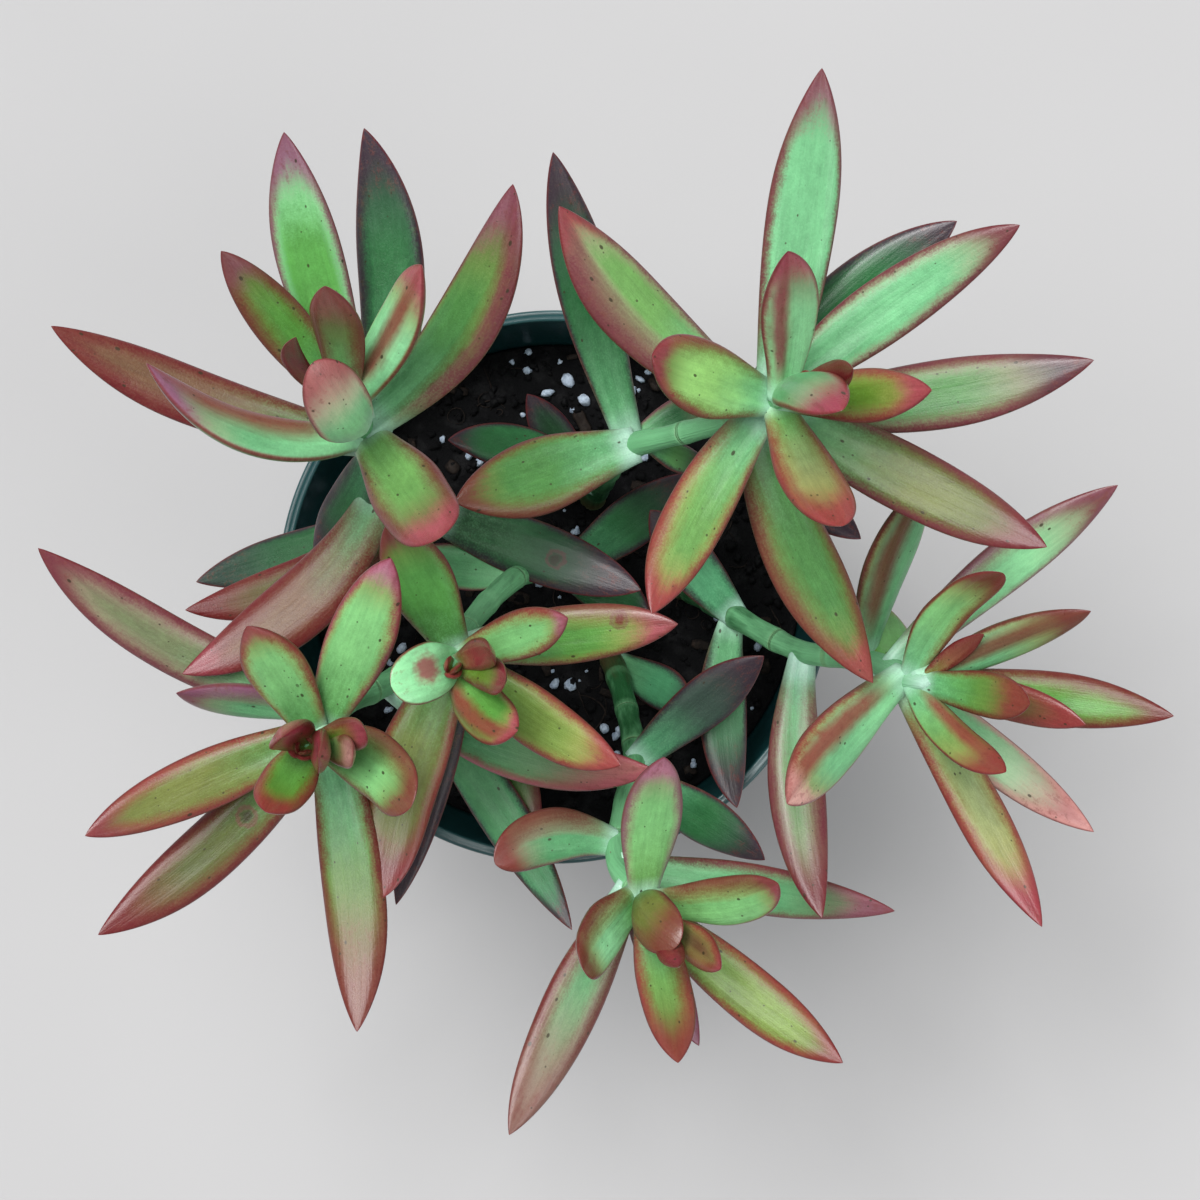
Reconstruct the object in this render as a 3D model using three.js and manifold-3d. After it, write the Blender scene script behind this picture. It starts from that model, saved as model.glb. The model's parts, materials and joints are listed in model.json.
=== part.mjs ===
// A potted firestorm sedum: a round nursery pot, its soil, six shoots and their thick pointed leaves.
// Millimetres, +Z up. The origin is the middle of the flat base that the pot stands on.
import * as THREE from "three";
import { mergeVertices } from "three/addons/utils/BufferGeometryUtils.js";
import Module from "manifold-3d";

const wasm = await Module();
wasm.setup();

// Gap between pieces that touch
const GAP = 0.3;

// Points of one skin that lie this close are the same point
const MERGE_WITHIN = 1e-4;

// Pot: a thin tapered wall with a deeper band and a small flange at the top
const POT_HEIGHT = 88;
const RIM_RADIUS = 51;
const RIM_INNER_RADIUS = 48.9;
const FLANGE_HEIGHT = 3.2;
const FLANGE_SLOPE = 0.4;
const LIP_CHAMFER = 0.6;
const BAND_HEIGHT = 11.5;
const BAND_STEP = 0.9;
const BASE_INNER_RADIUS = 38.6;
const BASE_CHAMFER = 0.9;
const WALL = 1.1;
const FLOOR = 1.5;
const POT_SIDES = 40;
const DRAIN_HOLES = 8;
const DRAIN_RADIUS = 3.5;
const DRAIN_CIRCLE_RADIUS = 29;
const DRAIN_SIDES = 12;

// Soil: fills the pot to a finger's breadth below the rim, with a slightly uneven top
const SOIL_HEIGHT = 70.5;
const SOIL_CROWN = 0.9;
const SOIL_CREST_AT = 0.8;
const SOIL_DIP_AT = 0.4;
const SOIL_SIDES = 32;

// Leaves: shares of the length and of the width that give every leaf its shape
const LEAF_FOOT_WIDTH = 0.5;
const LEAF_FOOT_DEPTH = 0.8;
const LEAF_WIDEST_AT = 0.52;
const LEAF_THICKEST_AT = 0.35;
const LEAF_FOOT_FLARE = 1.3;
const LEAF_SIDE_TAPER = 2.2;
const LEAF_SIDE_BLUNTNESS = 0.85;
const LEAF_BACK_TAPER = 2.4;
const LEAF_BACK_BLUNTNESS = 0.8;
const LEAF_UPPER_DEPTH = 0.17;
const LEAF_LOWER_DEPTH = 0.27;
const LEAF_BOW = 0.07;
const LEAF_TURN_TO_LIGHT = 0.65;
const SKYWARD = new THREE.Vector3(0, 0, 1);
const LEAF_STATIONS = [0, 0.12, 0.28, 0.46, 0.64, 0.79, 0.9];
const LEAF_SIDES = 6;
const BUD_LEAF_STATIONS = [0, 0.25, 0.55, 0.83];
const BUD_LEAF_SIDES = 6;

// Stems
const STEM_SIDES = 6;
const STEM_STEPS = 11;
const HEIGHT_SEARCH_STEPS = 30;

// The plant is seen from straight above, from this point, so that a pixel and a height make a point
const EYE_ABOVE_RIM = 420;
const EYE = new THREE.Vector3(8.3, -2.4, POT_HEIGHT + EYE_ABOVE_RIM);
const IMAGE_CENTRE = 600;
const MM_PER_PIXEL_AT_RIM = 0.184;

const green = (color) => new THREE.MeshStandardMaterial({ color, roughness: 0.4, metalness: 0 });
const LEAF_GREEN = green(0x86b56a);
const STEM_GREEN = green(0x9fd0a4);
const SOIL_BROWN = new THREE.MeshStandardMaterial({ color: 0x241f1d, roughness: 0.95, metalness: 0 });
const POT_TEAL = new THREE.MeshStandardMaterial({ color: 0x0f4a4c, roughness: 0.45, metalness: 0 });

// Each shoot: its stem's course from the soil to the growing tip as [x, y, z, radius] in mm, the
// leaves that are pieces of their own, and the small leaves that are one piece with the stem.
// A leaf joins the stem at the height `at` and its tip is at a pixel `tip` and a height `up`.
// `bow` and `sway` curve it back and to the right, as shares of its length, and `roll` turns its
// upper face to the right, in degrees.
const SHOOTS = {
  a: {
    stem: [
      [-13, 8, 60, 2.5],
      [-17, 10.5, 80, 2.3],
      [-22, 13, 100, 2.1],
      [-27, 17.5, 125, 2.1],
      [-29.6, 24.6, 140, 2.3],
      [-32, 30.5, 153, 1.2],
    ],
    leaves: {
      a01: { at: 137, tip: [51, 326], up: 147, width: 9.6, sway: -0.04 },
      a02: { at: 140, tip: [146, 363], up: 165, width: 9.4, roll: 40, bow: 0.1, sway: -0.1 },
      a03: { at: 146, tip: [221, 251], up: 166, width: 8.4 },
      a04: { at: 143, tip: [284, 132], up: 161, width: 10.6, sway: -0.03 },
      a05: { at: 137, tip: [364, 128], up: 148, width: 10.8, sway: 0.07 },
      a06: { at: 141, tip: [513, 184], up: 158, width: 10.8, sway: 0.09 },
      a10: { at: 144, tip: [313, 362], up: 172, width: 10, roll: 180, bow: 0.12, sway: 0.05 },
      a11: { at: 140, tip: [441, 537], up: 168, width: 12 },
      a12: { at: 127, tip: [182, 674], up: 124, width: 11.4, sway: -0.1 },
      a14: { at: 99, tip: [196, 582], up: 106, width: 9.4 },
      a16: { at: 101, tip: [641, 590], up: 104, width: 11 },
    },
    budLeaves: {
      a07: { at: 148, tip: [422, 265], up: 170, width: 9.4, roll: -20, sway: -0.03 },
      a08: { at: 150, tip: [325, 286], up: 175, width: 8 },
      a09: { at: 148, tip: [296, 337], up: 170, width: 3.8, roll: -30, sway: -0.16 },
      a13: { at: 134, tip: [314, 560], up: 114, width: 9.5 },
      a15: { at: 111, tip: [185, 610], up: 115, width: 9, sway: -0.09 },
    },
  },
  b: {
    stem: [
      [6, 16, 60, 2.5],
      [8, 18.5, 80, 2.2],
      [11, 22, 103, 2],
      [14.5, 24, 121, 2.1],
      [22, 25.3, 129, 1.9],
      [30, 27, 138, 2],
      [35, 28.6, 148, 2.2],
      [38.5, 29.8, 160, 1.2],
    ],
    leaves: {
      b01: { at: 149, tip: [822, 68], up: 160, width: 11.4, sway: 0.02 },
      b02: { at: 141, tip: [957, 221], up: 145, width: 11, sway: -0.04 },
      b03: { at: 147, tip: [1020, 225], up: 160, width: 10.2, sway: -0.03 },
      b04: { at: 144, tip: [1094, 360], up: 150, width: 11, sway: 0.03 },
      b05: { at: 148, tip: [1047, 547], up: 154, width: 11.2 },
      b06: { at: 150, tip: [843, 526], up: 174, width: 9.4 },
      b07: { at: 147, tip: [652, 614], up: 158, width: 10.4, sway: 0.03 },
      b08: { at: 142, tip: [873, 683], up: 136, width: 12, sway: 0.03 },
      b09: { at: 150, tip: [652, 355], up: 172, width: 11.6 },
      b10: { at: 144, tip: [559, 206], up: 153, width: 12, sway: -0.05 },
      b15: { at: 121, tip: [455, 502], up: 130, width: 12.6 },
      b16: { at: 119, tip: [553, 152], up: 132, width: 9.8 },
    },
    budLeaves: {
      b11: { at: 152, tip: [788, 251], up: 178, width: 8.8, sway: 0.05 },
      b12: { at: 152, tip: [932, 390], up: 169, width: 8.3 },
      b13: { at: 156, tip: [853, 369], up: 177, width: 5.5 },
      b14: { at: 154, tip: [843, 410], up: 182, width: 8.8, roll: 180 },
      b17: { at: 117, tip: [722, 392], up: 124, width: 7 },
      b18: { at: 136, tip: [861, 539], up: 129, width: 9 },
      b19: { at: 123, tip: [712, 470], up: 117, width: 5 },
      b20: { at: 82, tip: [448, 440], up: 92, width: 9, sway: 0.08 },
      b21: { at: 76, tip: [527, 394], up: 84, width: 7.6 },
    },
  },
  c: {
    stem: [
      [21, 1, 60, 2.5],
      [26, -1, 78, 2.2],
      [33, -5.5, 94, 2.2],
      [44, -11.5, 107, 1.9],
      [54.5, -12.8, 117, 2],
      [60.5, -15.6, 123, 2.2],
      [62.8, -16.3, 126.4, 1.2],
    ],
    leaves: {
      c01: { at: 120, tip: [1118, 485], up: 132, width: 9.3 },
      c03: { at: 124, tip: [1091, 611], up: 138, width: 7.6, roll: 20, sway: 0.03 },
      c04: { at: 124.5, tip: [1174, 716], up: 131, width: 9 },
      c08: { at: 118, tip: [1094, 832], up: 116, width: 8.6 },
      c09: { at: 121, tip: [1042, 927], up: 127, width: 9, sway: -0.03 },
      c10: { at: 122, tip: [787, 804], up: 145, width: 10.4 },
      c11: { at: 107, tip: [822, 918], up: 120, width: 9.8, sway: 0.06, roll: 20 },
      c12: { at: 116, tip: [930, 478], up: 138, width: 9, roll: 10 },
      c16: { at: 93, tip: [737, 808], up: 96, width: 9, sway: 0.05 },
    },
    budLeaves: {
      c02: { at: 123, tip: [1003, 573], up: 146, width: 7.8, sway: -0.05 },
      c05: { at: 125.2, tip: [1030, 704], up: 145, width: 7.4 },
      c06: { at: 125, tip: [1086, 725], up: 137, width: 7, roll: 20 },
      c07: { at: 123, tip: [1006, 772], up: 144, width: 6.6, sway: 0.05 },
      c13: { at: 122.5, tip: [878, 600], up: 106, width: 9.5 },
      c14: { at: 125.4, tip: [984, 634], up: 133, width: 3.6 },
      c15: { at: 94, tip: [650, 510], up: 100, width: 9.5 },
    },
  },
  d: {
    stem: [
      [8.3, -10, 58, 2.5],
      [11, -15, 72, 2.3],
      [13.5, -24, 86, 2.1],
      [14.5, -31, 96, 2.1],
      [12.3, -39, 106, 1.8],
      [11.3, -48, 114, 1.9],
      [15.1, -52.2, 120, 2.2],
      [17.5, -55.1, 125.5, 2],
      [18.4, -56, 128.6, 1.1],
    ],
    leaves: {
      d01: { at: 121, tip: [664, 757], up: 143, width: 10 },
      d03: { at: 114, tip: [895, 911], up: 107, width: 9, sway: 0.03 },
      d04: { at: 124, tip: [843, 1063], up: 130, width: 9.8, sway: 0.03 },
      d05: { at: 122, tip: [678, 1063], up: 141, width: 9.2, sway: -0.02 },
      d07: { at: 118, tip: [509, 1135], up: 125, width: 10.6, sway: -0.02 },
      d12: { at: 111, tip: [495, 864], up: 122, width: 9.6, roll: 15, sway: 0.12 },
      d13: { at: 97, tip: [764, 656], up: 105, width: 9.4 },
    },
    budLeaves: {
      d02: { at: 122, tip: [778, 883], up: 144, width: 9, sway: 0.1 },
      d06: { at: 116, tip: [699, 1046], up: 117, width: 7 },
      d08: { at: 120, tip: [583, 969], up: 141, width: 9.5 },
      d09: { at: 122, tip: [679, 944], up: 139, width: 8.6, roll: 180, bow: 0.12 },
      d10: { at: 127, tip: [721, 969], up: 147, width: 6 },
      d11: { at: 127, tip: [678, 967], up: 147, width: 4.5 },
      d14: { at: 100, tip: [765, 860], up: 97, width: 9 },
      d15: { at: 70, tip: [693, 707], up: 84, width: 8.4 },
    },
  },
  e: {
    stem: [
      [-15, -8, 60, 2.5],
      [-22, -13, 85, 2.3],
      [-29, -17, 107, 2.2],
      [-36, -20.5, 121, 2.2],
      [-38, -24.5, 132, 2.2],
      [-38.9, -25.8, 140.2, 1.2],
    ],
    leaves: {
      e01: { at: 134, tip: [247, 626], up: 153, width: 9.8 },
      e02: { at: 132, tip: [391, 558], up: 153, width: 10.8 },
      e03: { at: 135, tip: [411, 807], up: 155, width: 10.6, sway: -0.06 },
      e07: { at: 130, tip: [85, 836], up: 138, width: 9.9 },
      e08: { at: 127, tip: [98, 935], up: 128, width: 10.5, sway: -0.05 },
      e09: { at: 129, tip: [357, 1032], up: 135, width: 10.8, sway: -0.03 },
      e10: { at: 121, tip: [38, 548], up: 129, width: 10, sway: -0.09 },
      e12: { at: 107, tip: [655, 770], up: 118, width: 10.3, sway: 0.1 },
      e13: { at: 100, tip: [572, 930], up: 101, width: 9 },
    },
    budLeaves: {
      e04: { at: 136, tip: [266, 812], up: 154, width: 8.8 },
      e05: { at: 139, tip: [281, 738], up: 154, width: 7.6 },
      e06: { at: 139, tip: [318, 757], up: 155, width: 7 },
      e11: { at: 124, tip: [176, 693], up: 134, width: 8, roll: -35, sway: -0.06 },
      e14: { at: 94, tip: [532, 858], up: 97, width: 9.5, sway: -0.1 },
      e15: { at: 138, tip: [366, 733], up: 157, width: 5.5 },
      e16: { at: 137, tip: [353, 757], up: 156, width: 5.5 },
    },
  },
  f: {
    stem: [
      [4.5, 0.5, 60, 2.5],
      [3.5, 1.5, 74, 2.2],
      [0.5, 2.3, 86, 2],
      [-5.7, 2.2, 99, 2.1],
      [-14, -6.5, 117, 1.9],
      [-15.5, -12, 130, 2.2],
      [-15.5, -12.9, 137, 1.2],
    ],
    leaves: {
      f01: { at: 129, tip: [388, 522], up: 146, width: 10.9 },
      f03: { at: 126, tip: [678, 624], up: 131, width: 10 },
      f04: { at: 128, tip: [621, 765], up: 141, width: 9.8, sway: 0.06 },
      f10: { at: 127, tip: [382, 898], up: 130, width: 11.8, sway: 0.05 },
    },
    budLeaves: {
      f02: { at: 131, tip: [568, 618], up: 150, width: 8 },
      f06: { at: 132, tip: [518, 730], up: 150, width: 8.8, sway: 0.1 },
      f07: { at: 135, tip: [505, 682], up: 153, width: 6 },
      f08: { at: 135.5, tip: [491, 652], up: 155, width: 5.4 },
      f09: { at: 131, tip: [391, 686], up: 146, width: 9.2, bow: -0.1 },
      f11: { at: 119, tip: [396, 905], up: 112, width: 8 },
      f14: { at: 86, tip: [697, 473], up: 98, width: 9.5 },
      f15: { at: 99, tip: [400, 560], up: 100, width: 8.4 },
      f16: { at: 79, tip: [650, 615], up: 84, width: 8.6 },
    },
  },
};

// A point in space from a pixel of the top view and a height
function fromAbove([column, row], height) {
  const scale = (MM_PER_PIXEL_AT_RIM * (EYE.z - height)) / (EYE.z - POT_HEIGHT);
  const x = EYE.x + (column - IMAGE_CENTRE) * scale;
  const y = EYE.y - (row - IMAGE_CENTRE) * scale;
  return new THREE.Vector3(x, y, height);
}

// A closed skin over rings of points, from the first ring to the last, with an end point if given
function skinGeometry(rings, tip) {
  const sides = rings[0].length;
  const points = rings.flat();
  const faces = [];
  for (let ring = 0; ring + 1 < rings.length; ring++) {
    for (let side = 0; side < sides; side++) {
      const here = ring * sides + side;
      const next = ring * sides + ((side + 1) % sides);
      faces.push(here, next, next + sides, here, next + sides, here + sides);
    }
  }
  for (let side = 1; side + 1 < sides; side++) {
    faces.push(0, side + 1, side);
  }
  const last = (rings.length - 1) * sides;
  if (tip) {
    points.push(tip);
    for (let side = 0; side < sides; side++) {
      faces.push(last + side, last + ((side + 1) % sides), points.length - 1);
    }
  } else {
    for (let side = 1; side + 1 < sides; side++) {
      faces.push(last, last + side, last + side + 1);
    }
  }
  const geometry = new THREE.BufferGeometry().setFromPoints(points);
  geometry.setIndex(faces);
  return geometry;
}

// A closed geometry as a solid that can be joined and cut
function solidOf(geometry) {
  const bare = geometry.clone();
  bare.deleteAttribute("normal");
  bare.deleteAttribute("uv");
  const merged = mergeVertices(bare, MERGE_WITHIN);
  const mesh = new wasm.Mesh({
    numProp: 3,
    vertProperties: new Float32Array(merged.attributes.position.array),
    triVerts: new Uint32Array(merged.index.array),
  });
  return new wasm.Manifold(mesh);
}

// A named mesh from a solid, with its own origin at `origin`
function meshOf(name, solid, material, origin = new THREE.Vector3()) {
  const { vertProperties, triVerts } = solid.getMesh();
  const geometry = new THREE.BufferGeometry();
  geometry.setAttribute("position", new THREE.BufferAttribute(vertProperties, 3));
  geometry.setIndex(new THREE.BufferAttribute(triVerts, 1));
  geometry.translate(-origin.x, -origin.y, -origin.z);
  geometry.computeVertexNormals();
  const mesh = new THREE.Mesh(geometry, material);
  mesh.name = name;
  mesh.position.copy(origin);
  return mesh;
}

// The largest of a solid's separate bodies
function mainBody(solid) {
  const bodies = solid.decompose();
  return bodies.reduce((best, body) => (body.volume() > best.volume() ? body : best));
}

// Whether the boxes of two solids meet
function boxesMeet(one, other) {
  const p = one.boundingBox();
  const q = other.boundingBox();
  return [0, 1, 2].every((axis) => p.min[axis] < q.max[axis] && q.min[axis] < p.max[axis]);
}

// A solid with the space that its neighbours need cut away
function cutClear(solid, neighbours) {
  const near = neighbours.filter((other) => boxesMeet(solid, other));
  const cut = near.reduce((left, other) => left.subtract(other), solid);
  return near.length ? mainBody(cut) : cut;
}

// The stem's course: a smooth curve through its points, and its radius at a share of the course
class Stem {
  constructor(rows) {
    this.rows = rows;
    this.curve = new THREE.CatmullRomCurve3(rows.map(([x, y, z]) => new THREE.Vector3(x, y, z)));
  }

  radius(share) {
    const place = share * (this.rows.length - 1);
    const row = Math.min(Math.floor(place), this.rows.length - 2);
    return THREE.MathUtils.lerp(this.rows[row][3], this.rows[row + 1][3], place - row);
  }

  // The share of the course at which the stem reaches a height
  shareAt(height) {
    let low = 0;
    let high = 1;
    for (let step = 0; step < HEIGHT_SEARCH_STEPS; step++) {
      const middle = (low + high) / 2;
      if (this.curve.getPoint(middle).z < height) {
        low = middle;
      } else {
        high = middle;
      }
    }
    return (low + high) / 2;
  }

  // The stem as a tube, thicker by `margin` all round
  solid(margin = 0) {
    const rings = [];
    for (let step = 0; step <= STEM_STEPS; step++) {
      const share = step / STEM_STEPS;
      const centre = this.curve.getPoint(share);
      const along = this.curve.getTangent(share);
      const side = new THREE.Vector3(0, 1, 0).cross(along).normalize();
      const up = along.clone().cross(side);
      const radius = this.radius(share) + margin;
      rings.push(ringPoints(STEM_SIDES, centre, side, up, radius, radius, radius));
    }
    const end = this.curve.getPoint(1).addScaledVector(this.curve.getTangent(1), this.radius(1) + margin);
    return solidOf(skinGeometry(rings, end));
  }
}

// Points round an oval: half its width along `side`, and its depths above and below along `up`
function ringPoints(sides, centre, side, up, half, above, below) {
  return Array.from({ length: sides }, (_, index) => {
    const turn = (2 * Math.PI * index) / sides;
    const lift = Math.sin(turn);
    const point = centre.clone().addScaledVector(side, half * Math.cos(turn));
    return point.addScaledVector(up, lift * (lift > 0 ? above : below));
  });
}

// Width and thickness along a leaf, as shares of the largest: narrow foot, full middle, sharp tip
function leafWidth(t) {
  if (t < LEAF_WIDEST_AT) {
    const flare = Math.sin((t / LEAF_WIDEST_AT) * (Math.PI / 2)) ** LEAF_FOOT_FLARE;
    return THREE.MathUtils.lerp(LEAF_FOOT_WIDTH, 1, flare);
  }
  const past = (t - LEAF_WIDEST_AT) / (1 - LEAF_WIDEST_AT);
  return (1 - past ** LEAF_SIDE_TAPER) ** LEAF_SIDE_BLUNTNESS;
}

function leafDepth(t) {
  if (t < LEAF_THICKEST_AT) {
    return THREE.MathUtils.lerp(LEAF_FOOT_DEPTH, 1, Math.sin((t / LEAF_THICKEST_AT) * (Math.PI / 2)));
  }
  const past = (t - LEAF_THICKEST_AT) / (1 - LEAF_THICKEST_AT);
  return (1 - past ** LEAF_BACK_TAPER) ** LEAF_BACK_BLUNTNESS;
}

// A leaf of a stem as a solid, larger by `margin` all round
function leafSolid(stem, leaf, stations, sides, margin = 0) {
  const share = stem.shareAt(leaf.at);
  const base = stem.curve.getPoint(share);
  const axis = stem.curve.getTangent(share).lerp(SKYWARD, LEAF_TURN_TO_LIGHT);
  const tip = fromAbove(leaf.tip, leaf.up);
  const chord = tip.clone().sub(base);
  const length = chord.length();
  const along = chord.clone().normalize();
  const upper = axis.addScaledVector(along, -axis.dot(along)).normalize();
  upper.applyAxisAngle(along, THREE.MathUtils.degToRad(leaf.roll ?? 0));
  const right = along.clone().cross(upper);
  const middle = base.clone().addScaledVector(chord, 0.5);
  middle.addScaledVector(upper, -2 * (leaf.bow ?? LEAF_BOW) * length);
  middle.addScaledVector(right, 2 * (leaf.sway ?? 0) * length);
  const course = new THREE.QuadraticBezierCurve3(base, middle, tip);
  const rings = stations.map((t) => {
    const forward = course.getTangent(t);
    const up = upper.clone().addScaledVector(forward, -upper.dot(forward)).normalize();
    const half = (leaf.width / 2) * leafWidth(t) + margin;
    const depth = leaf.width * leafDepth(t);
    const above = LEAF_UPPER_DEPTH * depth + margin;
    const below = LEAF_LOWER_DEPTH * depth + margin;
    return ringPoints(sides, course.getPoint(t), up.clone().cross(forward), up, half, above, below);
  });
  const end = tip.clone().addScaledVector(course.getTangent(1), 2 * margin);
  return solidOf(skinGeometry(rings, end));
}

// The inner radius of the pot's wall at a height
function wallRadius(height) {
  const taper = (RIM_INNER_RADIUS - BASE_INNER_RADIUS) / (POT_HEIGHT - FLOOR);
  return BASE_INNER_RADIUS + taper * (height - FLOOR);
}

// The pot, turned round its axis from an outline, with drain holes in its floor
function potSolid() {
  const bandFoot = POT_HEIGHT - BAND_HEIGHT;
  const flangeFoot = POT_HEIGHT - FLANGE_HEIGHT;
  const outline = [
    [0, 0],
    [wallRadius(0) + WALL - BASE_CHAMFER, 0],
    [wallRadius(0) + WALL, BASE_CHAMFER],
    [wallRadius(bandFoot) + WALL, bandFoot - BAND_STEP],
    [wallRadius(bandFoot) + WALL + BAND_STEP, bandFoot],
    [wallRadius(flangeFoot) + WALL + BAND_STEP, flangeFoot - FLANGE_SLOPE],
    [RIM_RADIUS, flangeFoot],
    [RIM_RADIUS, POT_HEIGHT - LIP_CHAMFER],
    [RIM_RADIUS - LIP_CHAMFER, POT_HEIGHT],
    [RIM_INNER_RADIUS + LIP_CHAMFER, POT_HEIGHT],
    [RIM_INNER_RADIUS, POT_HEIGHT - LIP_CHAMFER],
    [BASE_INNER_RADIUS, FLOOR],
    [0, FLOOR],
  ];
  const points = outline.map(([radius, height]) => new THREE.Vector2(radius, height));
  const shell = new THREE.LatheGeometry(points, POT_SIDES).rotateX(Math.PI / 2);
  const drill = new THREE.CylinderGeometry(DRAIN_RADIUS, DRAIN_RADIUS, 4 * FLOOR, DRAIN_SIDES);
  drill.rotateX(Math.PI / 2).translate(DRAIN_CIRCLE_RADIUS, 0, 0);
  let pot = solidOf(shell);
  for (let hole = 0; hole < DRAIN_HOLES; hole++) {
    const turned = drill.clone().rotateZ((2 * Math.PI * hole) / DRAIN_HOLES);
    pot = pot.subtract(solidOf(turned));
  }
  return pot;
}

// The soil, turned from an outline that keeps clear of the pot
function soilSolid() {
  const bottom = FLOOR + GAP;
  const edge = wallRadius(SOIL_HEIGHT) - GAP;
  const outline = [
    [0, bottom],
    [wallRadius(bottom) - GAP, bottom],
    [edge, SOIL_HEIGHT],
    [edge * SOIL_CREST_AT, SOIL_HEIGHT + SOIL_CROWN],
    [edge * SOIL_DIP_AT, SOIL_HEIGHT],
    [0, SOIL_HEIGHT + SOIL_CROWN],
  ];
  const points = outline.map(([radius, height]) => new THREE.Vector2(radius, height));
  return solidOf(new THREE.LatheGeometry(points, SOIL_SIDES).rotateX(Math.PI / 2));
}

const plant = new THREE.Group();
plant.name = "potted_firestorm_sedum";

// Each stem with its small leaves is one solid, and keeps clear of the shoots before it
const shoots = [];
for (const [letter, { stem: rows, budLeaves }] of Object.entries(SHOOTS)) {
  const stem = new Stem(rows);
  const grow = (margin) =>
    Object.values(budLeaves).reduce(
      (shoot, leaf) => shoot.add(leafSolid(stem, leaf, BUD_LEAF_STATIONS, BUD_LEAF_SIDES, margin)),
      stem.solid(margin),
    );
  const solid = cutClear(grow(0), shoots.map((shoot) => shoot.space));
  shoots.push({ letter, stem, solid, space: grow(GAP) });
}

// The large leaves, in order, each clear of the shoots and of the leaves before it
const taken = shoots.map((shoot) => shoot.space);
for (const { letter, stem, solid } of shoots) {
  const group = new THREE.Group();
  group.name = `shoot_${letter}`;
  group.add(meshOf(`stem_${letter}`, solid, STEM_GREEN));
  for (const [name, leaf] of Object.entries(SHOOTS[letter].leaves)) {
    const whole = leafSolid(stem, leaf, LEAF_STATIONS, LEAF_SIDES);
    const foot = stem.curve.getPoint(stem.shareAt(leaf.at));
    group.add(meshOf(`leaf_${name}`, cutClear(whole, taken), LEAF_GREEN, foot));
    taken.push(leafSolid(stem, leaf, LEAF_STATIONS, LEAF_SIDES, GAP));
  }
  plant.add(group);
}

plant.add(meshOf("pot", potSolid(), POT_TEAL));
plant.add(meshOf("soil", cutClear(soilSolid(), taken), SOIL_BROWN));

export default plant;
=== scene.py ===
"""A potted firestorm sedum: six leggy shoots with rosettes of thick, red-edged leaves in a nursery pot.

Lengths in the tables are millimetres and the meshes are metres, +Z up, with the origin in the middle
of the flat base that the pot stands on.
"""

import json
import logging
import math
from collections.abc import Iterable, Sequence
from dataclasses import dataclass
from enum import Enum

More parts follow.
